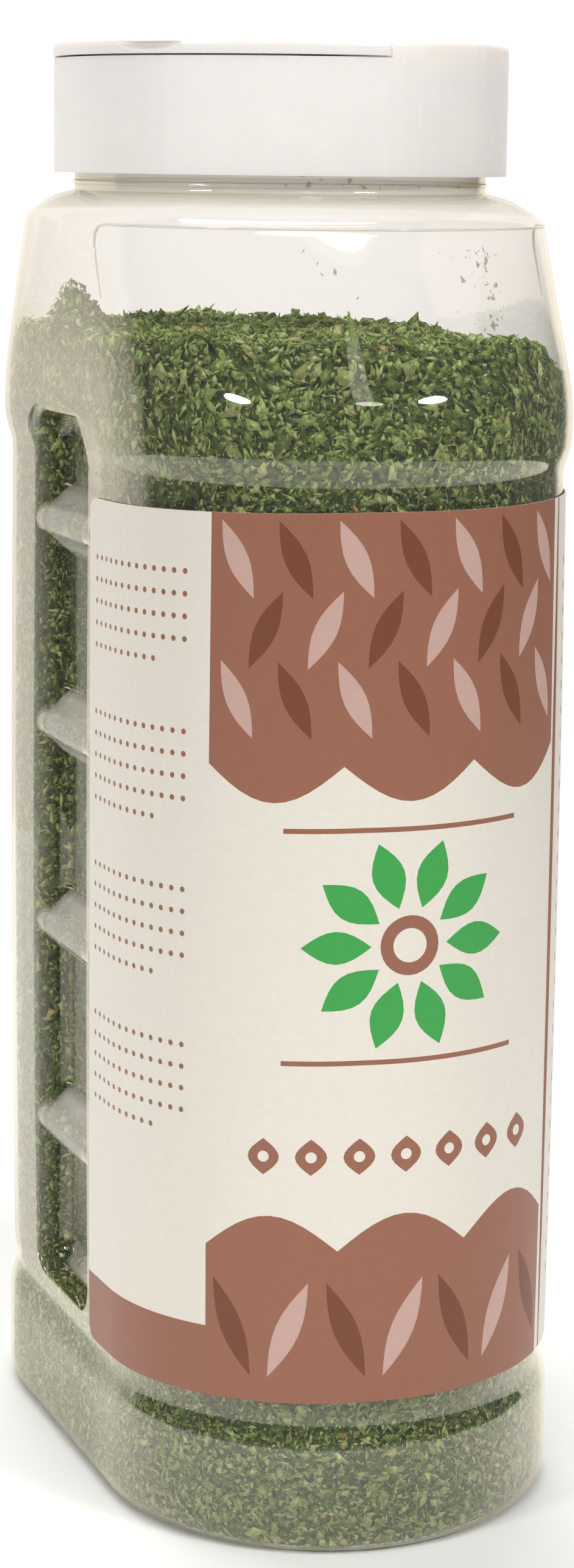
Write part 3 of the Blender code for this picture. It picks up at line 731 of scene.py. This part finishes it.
def build_flakes(name, spot, normal, rng, fits=keep_inside, size=1.0):
    """Crumpled leaf fragments as closed slivers folded along their length.

    The function fits moves corners that stand out of the wall back inside.
    """
    count = len(spot)
    on_top = normal[:, 2] > 0.5
    along, over, face = sliver_frames(normal, on_top, rng)
    length = size * rng.gamma(*FLAKE_LENGTH, count).clip(*FLAKE_LIMITS)
    short = rng.random(count) < SHORT_FLAKES
    length *= np.where(short, 0.5, 1.0) * np.interp(spot[:, 2], *FLAKE_GROWTH)
    width = length * rng.uniform(0.2, 0.7, count)
    lift = np.where(on_top, rng.uniform(-0.3, 1.2, count), rng.uniform(-0.1, 1.15, count))
    middle = spot + normal * lift[:, None]
    verts = np.empty((count, 4, 3))
    for k, (u, v) in enumerate(((1, 0), (0, 1), (-1, 0), (0, -1))):
        u = (u + rng.uniform(-0.35, 0.35, count)) * length
        v = (v + rng.uniform(-0.35, 0.35, count)) * width
        curl = (k % 2) * rng.uniform(0.12, 0.5, count) * width
        verts[:, k] = middle + along * u[:, None] + over * v[:, None] + face * curl[:, None]
    verts = fits(verts.reshape(-1, 3))
    start = np.arange(count)[:, None] * 4
    corners = ((0, 1, 2), (0, 2, 3), (0, 3, 1), (1, 3, 2))
    tris = np.concatenate([start + [three] for three in corners]).astype(np.int32)
    mesh = bpy.data.meshes.new(name)
    mesh.vertices.add(len(verts))
    mesh.vertices.foreach_set("co", (verts * MM).ravel())
    mesh.loops.add(tris.size)
    mesh.loops.foreach_set("vertex_index", tris.ravel())
    mesh.polygons.add(len(tris))
    mesh.polygons.foreach_set("loop_start", np.arange(0, tris.size, 3, dtype=np.int32))
    mesh.update(calc_edges=True)
    flakes = add_object(name, mesh)
    store_value(flakes, "tone", np.repeat(rng.random(count), 4))
    return flakes


def rib_fill(rng):
    """Spots for the few flakes that settle in the hollow ribs."""
    spots = []
    for side in (-1, 1):
        for height in RIB_HEIGHTS:
            for _ in range(RIB_FLAKES):
                depth = rng.uniform(0.0, 3.4)
                y = GRIP_CENTRE + rng.uniform(-9.0, 9.0)
                z = height + rng.uniform(-1, 1) * (4.4 - 0.8 * depth)
                spots.append((side * (GRIP_FLOOR - 0.5 + depth), y, z))
    return np.array(spots)


def dust_spots(rng):
    """Spots on the inside of the shoulder and neck where single flakes cling."""
    heights, radii, straights = wall_table(WALL + 0.2)
    spots = []
    normals = []
    for x0, spread, z0, z1, count in DUST:
        for _ in range(count):
            z = rng.uniform(z0, z1)
            x = x0 + rng.normal(0, spread)
            radius = np.interp(z, heights, radii)
            depth = math.sqrt(max(1.0, radius * radius - x * x))
            spots.append((x, -np.interp(z, heights, straights) - depth, z))
            normals.append((x / radius, -depth / radius, 0.2))
    return np.array(spots), np.array(normals)


def build_stalks(rng):
    """A bit of stem standing out of the mound at the front wall, and two beside it."""
    points = []
    faces = []
    for start, end, thick in STALKS:
        start, end = Vector(start), Vector(end)
        along = end - start
        side = along.cross(Vector((0.3, 1.0, 0.2))).normalized()
        over = along.cross(side).normalized()
        base = len(points)
        for k in range(5):
            middle = start + along * (k / 4) + side * rng.uniform(-0.12, 0.12)
            size = thick * (0.75, 1.0, 0.9, 0.7, 0.25)[k]
            for angle in turns(5):
                out = side * math.cos(angle) + over * math.sin(angle)
                points.append(tuple(middle + size * out))
        faces += solid_faces(5, 5, base)
    stalks = face_outward(make_mesh("parsley_stalks", points, faces, smooth=False))
    store_value(stalks, "tone", [0.12] * len(points))
    return stalks


def build_crease():
    """The fine raised line of the shoulder: up one side, across the front and down."""
    heights, radii, straights = wall_table(0.0)
    path = list(CREASE)
    steps = 60
    first, last = CREASE[-1][0], 180 - CREASE[-1][0]
    for k in range(1, steps):
        path.append((first + (last - first) * k / steps, CREASE[-1][1]))
    path += [(180 - angle, height) for angle, height in reversed(CREASE)]
    places = []
    for angle, height in path:
        radius = np.interp(height, heights, radii)
        straight = np.interp(height, heights, straights)
        angle = math.radians(angle)
        x = -radius * math.cos(angle)
        places.append(Vector((x, -straight - radius * math.sin(angle), height)))
    loops = []
    for k, place in enumerate(places):
        along = (places[min(len(places) - 1, k + 1)] - places[max(0, k - 1)]).normalized()
        out = Vector((place.x, place.y * 0.5, 0.0)).normalized()
        side = along.cross(out).normalized()
        over = side.cross(along).normalized()
        size = CREASE_SIZE * min(1.0, 0.3 + 0.2 * min(k, len(places) - 1 - k))
        loops.append([
            tuple(place + size * (side * math.cos(a) + over * math.sin(a))) for a in turns(8)
        ])
    crease = loft("shoulder_line", loops)
    # The line's whitish wash is a painted highlight
    store_value(crease, "haze_and_painted_light", [CREASE_PAINTED_HIGHLIGHT] * len(crease.data.vertices))
    return crease


# Label print


def on_label(a, z, offset):
    """Place of a point of the flat label on the jar's panel."""
    z += LABEL_TILT * min(0.0, a - TILT_START)
    share = (z - PANEL_MIDDLE) / PANEL_HALF
    radius = PANEL_RADIUS + PANEL_BULGE * (1 - share * share) + offset
    arc = math.pi / 2 * LABEL_RADIUS
    if abs(a) <= arc:
        angle = a / LABEL_RADIUS
        return (radius * math.sin(angle), -HALF_STRAIGHT - radius * math.cos(angle), z)
    return (math.copysign(radius, a), -HALF_STRAIGHT + abs(a) - arc, z)


def lens(a, z, length, width, turn, steps=8):
    """A pointed leaf outline."""
    points = []
    for side in (1, -1):
        for i in range(steps):
            t = i / steps
            u = length * (t - 0.5) * side
            v = width / 2 * math.sin(math.pi * t) * side
            points.append((u, v))
    cosine = math.cos(turn)
    sine = math.sin(turn)
    return [(a + u * cosine - v * sine, z + u * sine + v * cosine) for u, v in points]


def disc(a, z, radius, steps=28):
    """A round outline."""
    return [(a + radius * math.cos(turn), z + radius * math.sin(turn)) for turn in turns(steps)]


def bar(a0, z0, a1, z1):
    """A rectangle between two corners."""
    return [(a0, z0), (a1, z0), (a1, z1), (a0, z1)]


def scalloped(a0, a1, z_flat, z_edge, bumps, depth):
    """A band with one straight edge and one edge of shallow arcs."""
    points = [(a1, z_flat), (a0, z_flat)]
    steps = 12
    for k in range(bumps):
        for i in range(steps + (k == bumps - 1)):
            t = (k + i / steps) / bumps
            bump = math.sin(math.pi * (i / steps)) * depth
            points.append((a0 + (a1 - a0) * t, z_edge + bump))
    return points


def label_design():
    """Outlines of the generic print, later ones on top, each with its ink."""
    left, right = BAND_LEFT, BAND_RIGHT
    shapes = [
        ("brown", scalloped(left, right, LABEL_TOP, 113.0, 3, -5.0)),
        ("brown", scalloped(left, right, LABEL_BOTTOM, 45.0, 3, 5.0)),
        ("brown", bar(-LABEL_HALF, LABEL_BOTTOM, left, 33.0)),
    ]
    for row, z in enumerate((141.0, 131.5, 122.0)):
        for k in range(7):
            a = left + 4.0 + k * LEAF_PITCH + LEAF_PITCH / 2 * (row % 2)
            if a < right - 3:
                ink = "dark" if (k + row) % 2 else "pale"
                shapes.append((ink, lens(a, z, 11.5, 3.1, math.radians(66 if row % 2 else 114))))
    for k in range(7):
        a = left + 4.0 + k * LEAF_PITCH
        ink = "pale" if k % 2 else "dark"
        shapes.append((ink, lens(a, 33.5, 15.0, 3.4, math.radians(90 + 22 * (-1) ** k))))
    centre_a, centre_z = EMBLEM
    for angle in turns(EMBLEM_LEAVES):
        a = centre_a + EMBLEM_RADIUS * math.cos(angle)
        z = centre_z + EMBLEM_RADIUS * math.sin(angle)
        shapes.append(("green", lens(a, z, 9.6, 4.6, angle)))
    shapes.append(("brown", disc(centre_a, centre_z, 4.2)))
    shapes.append(("cream", disc(centre_a, centre_z, 2.4)))
    for side in (-1, 1):
        z = centre_z + side * RULE_OFF
        shapes.append(("brown", bar(centre_a - RULE_HALF, z - 0.35, centre_a + RULE_HALF, z + 0.35)))
    for k in range(7):
        a = centre_a + (k - 3) * 6.6
        shapes.append(("brown", lens(a, 58.5, 5.2, 4.4, math.radians(90))))
        shapes.append(("cream", disc(a, 58.5, 0.8, 12)))
    for group in range(4):
        for row in range(5):
            z = 139.0 - group * 22.0 - row * 3.1
            for k in range(13 - 3 * (row == 4)):
                shapes.append(("brown", disc(-57.5 + k * 1.95, z, 0.42, 8)))
    shapes.append(("brown", bar(28.3, LABEL_BOTTOM, 28.9, LABEL_TOP)))
    for k in range(30):
        shapes.append(("brown", lens(33.0, 138.0 - 3.6 * k, 1.8, 0.9, math.radians(90), 4)))
    return shapes


def inside(polygon, a, z):
    """Whether the point lies in the outline."""
    hit = False
    j = len(polygon) - 1
    for i, (a1, z1) in enumerate(polygon):
        a2, z2 = polygon[j]
        if (z1 > z) != (z2 > z) and a < (a2 - a1) * (z - z1) / (z2 - z1) + a1:
            hit = not hit
        j = i
    return hit


def cut_lines(loops):
    """Points and edges along the outlines, close enough for the sheet to bend."""
    points = []
    edges = []
    for loop in loops:
        start = len(points)
        for (a0, z0), (a1, z1) in zip(loop, loop[1:] + loop[:1]):
            pieces = max(1, math.ceil(abs(a1 - a0) / CUT_STEP))
            for i in range(pieces):
                points.append((a0 + (a1 - a0) * i / pieces, z0 + (z1 - z0) * i / pieces))
        count = len(points) - start
        edges += [(start + i, start + (i + 1) % count) for i in range(count)]
    return points, edges


def cut_print(border, shapes, names):
    """Points and faces of the flat sheet, and for each face the number of its ink."""
    points, edges = cut_lines([border] + [loop for _, loop in shapes])
    for k in range(1, LABEL_COLUMNS):
        a = -LABEL_HALF + 2 * LABEL_HALF * k / LABEL_COLUMNS
        for m in range(LABEL_ROWS):
            z = LABEL_BOTTOM + (LABEL_TOP - LABEL_BOTTOM) * (m + 0.5) / LABEL_ROWS
            points.append((a, z + 0.02 * (k % 3)))
    found = delaunay_2d_cdt([Vector(p) for p in points], edges, [], 0, 1e-5)
    flat = [tuple(p) for p in found[0]]
    boxes = []
    for ink, loop in shapes:
        a, z = zip(*loop)
        boxes.append((ink, loop, min(a), max(a), min(z), max(z)))
    faces = []
    slots = []
    for corners in found[2]:
        a = sum(flat[i][0] for i in corners) / len(corners)
        z = sum(flat[i][1] for i in corners) / len(corners)
        if not inside(border, a, z):
            continue
        ink = "cream"
        for name, loop, a0, a1, z0, z1 in boxes:
            if a0 <= a <= a1 and z0 <= z <= z1 and inside(loop, a, z):
                ink = name
        faces.append(tuple(corners))
        slots.append(names.index(ink))
    return flat, faces, slots


def build_label(inks):
    """A thin closed sheet whose front is cut along the print's outlines."""
    names = list(inks)
    middle = (0.0, (LABEL_TOP + LABEL_BOTTOM) / 2)
    halves = (LABEL_HALF, (LABEL_TOP - LABEL_BOTTOM) / 2)
    border = rounded_box(middle, halves, LABEL_CORNER, 6)
    flat, faces, slots = cut_print(border, label_design(), names)
    count = len(flat)
    verts = [on_label(a, z, LABEL_GAP + LABEL_THICKNESS) for a, z in flat]
    verts += [on_label(a, z, LABEL_GAP) for a, z in flat]
    pairs = [pair for corners in faces for pair in zip(corners, corners[1:] + corners[:1])]
    used = dict.fromkeys(pairs)
    back = [tuple(i + count for i in corners[::-1]) for corners in faces]
    sides = [(j, i, i + count, j + count) for i, j in used if (j, i) not in used]
    label = make_mesh("printed_label", verts, faces + back + sides)
    bm = bmesh.new()
    bm.from_mesh(label.data)
    loose = [v for v in bm.verts if not v.link_faces]
    bmesh.ops.delete(bm, geom=loose, context="VERTS")
    bm.to_mesh(label.data)
    bm.free()
    slots += [names.index("cream")] * (len(back) + len(sides))
    label.data.polygons.foreach_set("material_index", slots)
    face_outward(label)
    for ink in inks.values():
        label.data.materials.append(ink)
    soften(label, 40)
    return label


# Materials


def linear(red, green, blue):
    """An sRGB colour in 0 to 255 as linear values."""
    shares = [value / 255 for value in (red, green, blue)]
    return tuple(s / 12.92 if s <= 0.04045 else ((s + 0.055) / 1.055) ** 2.4 for s in shares) + (1.0,)


def new_material(name):
    """A node material, its node tree and its shader."""
    material = bpy.data.materials.new(name)
    material.use_nodes = True
    tree = material.node_tree
    return material, tree, tree.nodes["Principled BSDF"]


def feed(tree, node, sources):
    """Gives inputs, by name or number, a value or the output of another node."""
    for key, source in sources.items():
        if isinstance(source, bpy.types.NodeSocket):
            tree.links.new(source, node.inputs[key])
        else:
            node.inputs[key].default_value = source


def add_node(tree, kind, sources=None):
    node = tree.nodes.new("ShaderNode" + kind)
    feed(tree, node, sources or {})
    return node


def noise_node(tree, scale, detail, roughness=0.6):
    """Noise in the object's own space; the scale counts per metre."""
    noise = add_node(tree, "TexNoise", {
        "Vector": add_node(tree, "TexCoord").outputs["Object"],
        "Scale": scale,
        "Detail": detail,
        "Roughness": roughness,
    })
    return noise.outputs["Fac"]


def ramp_node(tree, source, stops):
    """A colour ramp with these stops, fed by the source."""
    ramp = add_node(tree, "ValToRGB", {"Fac": source})
    elements = ramp.color_ramp.elements
    while len(elements) < len(stops):
        elements.new(0.5)
    for element, (position, colour) in zip(elements, stops):
        element.position = position
        element.color = colour
    return ramp.outputs["Color"]


def bump_node(tree, height, strength, distance):
    bump = add_node(tree, "Bump", {"Strength": strength, "Distance": distance, "Height": height})
    return bump.outputs["Normal"]


def math_node(tree, operation, *sources):
    node = add_node(tree, "Math")
    node.operation = operation
    feed(tree, node, dict(enumerate(sources)))
    return node.outputs["Value"]


def value_node(tree, name):
    """A point value stored on the mesh; 0 where it has none."""
    node = add_node(tree, "Attribute")
    node.attribute_name = name
    return node.outputs["Fac"]


def mix_shaders(tree, share, first, second):
    mix = add_node(tree, "MixShader", {"Fac": share, 1: first, 2: second})
    return mix.outputs["Shader"]


def mix_colours(tree, blend, share, first, second):
    mix = add_node(tree, "Mix")
    mix.data_type = "RGBA"
    mix.blend_type = blend
    feed(tree, mix, {"Factor": share, "A": first, "B": second})
    return mix.outputs["Result"]


def plastic(name, colour, shade, roughness):
    """Moulded plastic: slightly uneven colour, a fine moulded grain and light that soaks in."""
    material, tree, shader = new_material(name)
    noise = noise_node(tree, 180.0, 2.0)
    grain = noise_node(tree, 2600.0, 2.0)
    feed(tree, shader, {
        "Base Color": ramp_node(tree, noise, ((0.3, shade), (0.7, colour))),
        "Normal": bump_node(tree, grain, 0.05, 0.0002),
        "Roughness": roughness,
        "Subsurface Weight": 0.5,
        "Subsurface Radius": (1.0, 0.55, 0.32),
        "Subsurface Scale": 0.0035,
    })
    return material


def ink_material(name, colour):
    """Printed film: flat ink with a faint mottle under a soft gloss."""
    material, tree, shader = new_material(name)
    shade = tuple(value * 0.95 for value in colour[:3]) + (1.0,)
    feed(tree, shader, {
        "Base Color": ramp_node(tree, noise_node(tree, 900.0, 3.0), ((0.25, shade), (0.75, colour))),
        "Roughness": 0.42,
        "Specular IOR Level": 0.35,
    })
    return material


def clear_material(name):
    """Thin clear plastic: see-through, with gloss that grows at a shallow angle, and a whitish wash that is
    faint haze and, in places, painted light.
    """
    material, tree, shader = new_material(name)
    tree.nodes.remove(shader)
    through = add_node(tree, "BsdfTransparent", {"Color": CLEAR_TINT})
    # Whitish diffuse layer: faint real haze, and painted light where the wall's point values ask for more
    haze_and_painted_light_bsdf = add_node(tree, "BsdfDiffuse", {"Color": HAZE_AND_PAINTED_LIGHT_COLOUR})
    gloss = add_node(tree, "BsdfGlossy", {
        "Color": GLOSS_TINT,
        "Roughness": 0.025,
        "Normal": bump_node(tree, noise_node(tree, 22.0, 2.0, 0.4), 0.08, 0.0008),
    })

    facing = add_node(tree, "LayerWeight", {"Blend": 0.5})
    steep = math_node(tree, "POWER", facing.outputs["Facing"], GLOSS_POWER)
    share = math_node(tree, "MULTIPLY_ADD", steep, 1.0 - GLOSS_LEAST, GLOSS_LEAST)
    kept = math_node(tree, "SUBTRACT", 1.0, value_node(tree, "dull"))
    gleam = math_node(tree, "MULTIPLY", share, kept)

    clear = mix_shaders(tree, gleam, through.outputs["BSDF"], gloss.outputs["BSDF"])
    # Mixes in the whitish layer by the wall's stored haze and painted light
    clear_with_painted_light = mix_shaders(tree, value_node(tree, "haze_and_painted_light"), clear, haze_and_painted_light_bsdf.outputs["BSDF"])
    feed(tree, tree.nodes["Material Output"], {"Surface": clear_with_painted_light})
    return material


def flake_material():
    """Dried leaf: each flake has its own tone, from dark green to straw, finely mottled."""
    material, tree, shader = new_material("parsley_leaf")
    stops = (
        (0.0, linear(102, 124, 66)),
        (0.25, linear(146, 173, 95)),
        (0.5, linear(175, 200, 123)),
        (0.75, linear(200, 221, 148)),
        (0.93, linear(220, 231, 172)),
        (0.975, linear(214, 212, 148)),
        (1.0, linear(196, 164, 108)),
    )
    tone = ramp_node(tree, value_node(tree, "tone"), stops)
    shades = ((0.3, (0.55, 0.58, 0.5, 1.0)), (0.7, (1.25, 1.25, 1.1, 1.0)))
    mottle = ramp_node(tree, noise_node(tree, 2400.0, 3.0), shades)
    feed(tree, shader, {
        "Base Color": mix_colours(tree, "MULTIPLY", 0.7, tone, mottle),
        "Roughness": 0.75,
        "Specular IOR Level": 0.25,
    })
    return material


def dust_material():
    """Single thin flakes and dust on the clear wall, pale and half see-through."""
    material, tree, shader = new_material("parsley_dust")
    stops = ((0.3, linear(120, 140, 96)), (0.7, linear(176, 188, 152)))
    feed(tree, shader, {
        "Base Color": ramp_node(tree, noise_node(tree, 900.0, 2.0), stops),
        "Alpha": 0.35,
        "Roughness": 0.8,
    })
    return material


def core_material():
    """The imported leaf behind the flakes: darker, in small cells."""
    material, tree, shader = new_material("packed_leaf")
    place = add_node(tree, "TexCoord").outputs["Object"]
    cells = add_node(tree, "TexVoronoi", {"Vector": place, "Scale": 1500.0})
    stops = (
        (0.1, linear(36, 52, 20)),
        (0.5, linear(72, 96, 40)),
        (0.9, linear(116, 140, 66)),
    )
    feed(tree, shader, {
        "Base Color": ramp_node(tree, cells.outputs["Color"], stops),
        "Normal": bump_node(tree, cells.outputs["Distance"], 1.0, 0.0008),
        "Roughness": 0.9,
    })
    return material


# Stage


def build_stage():
    """A pale round table top; past its edge the studio is plain white to the camera."""
    count = FLOOR_SIDES
    points = [(0.0, 0.0, 0.0)]
    for radius in FLOOR_RADII:
        points += [(radius * math.cos(a), radius * math.sin(a), 0.0) for a in turns(count)]
    faces = [(0, 1 + i, 1 + (i + 1) % count) for i in range(count)]
    for ring in range(len(FLOOR_RADII) - 1):
        low, high = 1 + ring * count, 1 + (ring + 1) * count
        for i in range(count):
            j = (i + 1) % count
            faces.append((low + i, high + i, high + j, low + j))
    floor = make_mesh("floor", points, faces)
    material, tree, shader = new_material("pale_floor")
    stops = ((0.3, (0.93, 0.93, 0.92, 1.0)), (0.7, (0.955, 0.955, 0.95, 1.0)))
    feed(tree, shader, {
        "Base Color": ramp_node(tree, noise_node(tree, 6.0, 2.0), stops),
        "Roughness": 0.9,
        "Specular IOR Level": 0.1,
    })
    floor.data.materials.append(material)


def area_light(name, place, aim, width, height, power):
    """A soft elliptical light that faces its aim."""
    light = bpy.data.lights.new(name, "AREA")
    light.shape = "ELLIPSE"
    light.size = width
    light.size_y = height
    light.energy = power
    thing = add_object(name, light)
    thing.location = place
    thing.rotation_euler = (Vector(aim) - Vector(place)).to_track_quat("-Z", "Y").to_euler()


def build_studio():
    """Light from all round: dim from the front, bright from behind the jar.

    The clear wall shows the edge between the two as the pale wash on its sides.
    """
    world = bpy.data.worlds.new("studio")
    bpy.context.scene.world = world
    world.use_nodes = True
    tree = world.node_tree
    toward = add_node(tree, "VectorMath")
    toward.operation = "DOT_PRODUCT"
    place = add_node(tree, "TexCoord").outputs["Generated"]
    feed(tree, toward, {0: place, 1: (0.0, 1.0, 0.0)})
    share = add_node(tree, "MapRange", {
        "Value": toward.outputs["Value"],
        "From Min": -1.0,
        "From Max": 1.0,
    })
    dim_end, bright_start = STUDIO_EDGE
    stops = ((0.0, STUDIO_DIM), (dim_end, STUDIO_DIM), (bright_start, STUDIO_BRIGHT))
    glow = ramp_node(tree, share.outputs["Result"], stops)
    seen = add_node(tree, "LightPath").outputs["Is Camera Ray"]
    feed(tree, tree.nodes["Background"], {
        "Color": mix_colours(tree, "MIX", seen, glow, BACKDROP),
        "Strength": STUDIO_STRENGTH,
    })


def build_camera():
    """The photo's view, 480 mm from the jar's axis."""
    yaw, pitch, roll = CAMERA_TURNS
    width, height = PHOTO_SIZE
    forward = Vector((math.sin(yaw) * math.cos(pitch), math.cos(yaw) * math.cos(pitch), -math.sin(pitch)))
    right = Vector((math.cos(yaw), -math.sin(yaw), 0.0))
    down = forward.cross(right)
    across = right * math.cos(roll) + down * math.sin(roll)
    fall = down * math.cos(roll) - right * math.sin(roll)
    data = bpy.data.cameras.new("camera")
    data.sensor_fit = "VERTICAL"
    data.sensor_height = SENSOR
    data.lens = FOCAL_LENGTH / height * SENSOR
    data.shift_x = (width / 2 - OPTICAL_CENTRE[0]) / height
    data.shift_y = (OPTICAL_CENTRE[1] - height / 2) / height
    data.clip_start = 0.01
    camera = add_object("camera", data)
    camera.rotation_euler = Matrix((across, -fall, -forward)).transposed().to_euler()
    camera.location = CAMERA_PLACE
    bpy.context.scene.camera = camera


# Assembly


def dress_jar():
    clear = clear_material("clear_jar")
    jar = build_jar()
    jar.data.materials.clear()
    jar.data.materials.append(clear)
    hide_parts("jar")
    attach(jar, "jar")
    for detail in (build_neck_bead(), build_crease()):
        detail.data.materials.append(clear)
        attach(detail, "jar")


def dress_parsley(rng):
    """The core, then the loose flakes in pieces by where they lie, and the few apart."""
    core = build_core(rng)
    core.data.materials.clear()
    core.data.materials.append(core_material())
    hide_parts("parsley")
    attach(core, "jar")
    spot, normal = sample_core(core, FLAKES, rng)
    on_top = normal[:, 2] > 0.5
    high = spot[:, 2] > FLAKE_SPLITS[1]
    low = spot[:, 2] <= FLAKE_SPLITS[0]
    groups = (
        ("parsley_flakes_mound", on_top),
        ("parsley_flakes_upper", ~on_top & high),
        ("parsley_flakes_middle", ~on_top & ~high & ~low),
        ("parsley_flakes_base", ~on_top & low),
    )
    leaf = flake_material()
    for name, chosen in groups:
        flakes = build_flakes(name, spot[chosen], normal[chosen], rng)
        flakes.data.materials.append(leaf)
        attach(flakes, "jar")
    spot = rib_fill(rng)
    outwards = np.sign(spot) * [1.0, 0.0, 0.0]
    in_ribs = build_flakes("parsley_flakes_ribs", spot, outwards, rng, keep_in_ribs)
    clinging = build_flakes("parsley_flakes_clinging", *dust_spots(rng), rng, size=0.5)
    pieces = ((in_ribs, leaf), (clinging, dust_material()), (build_stalks(rng), leaf))
    for piece, material in pieces:
        piece.data.materials.append(material)
        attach(piece, "jar")


def dress_label():
    inks = {name: ink_material("ink_" + name, linear(*colour)) for name, colour in INKS.items()}
    label = build_label(inks)
    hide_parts("label")
    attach(label, "jar")


def dress_cap():
    """The cap and its flap keep their own meshes; the flap is a little glossier."""
    colour = linear(254, 243, 239)
    shade = linear(252, 240, 236)
    for name, roughness in (("cap", 0.38), ("flap", 0.34)):
        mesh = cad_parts[name].data
        mesh.materials.clear()
        mesh.materials.append(plastic(name + "_plastic", colour, shade, roughness))


def main():
    dress_jar()
    dress_parsley(np.random.default_rng(SEED))
    dress_label()
    dress_cap()
    build_stage()
    for settings in LIGHTS:
        area_light(*settings)
    build_studio()
    build_camera()
    scene = bpy.context.scene
    scene.view_settings.view_transform = "Standard"
    scene.cycles.transparent_max_bounces = 24


main()
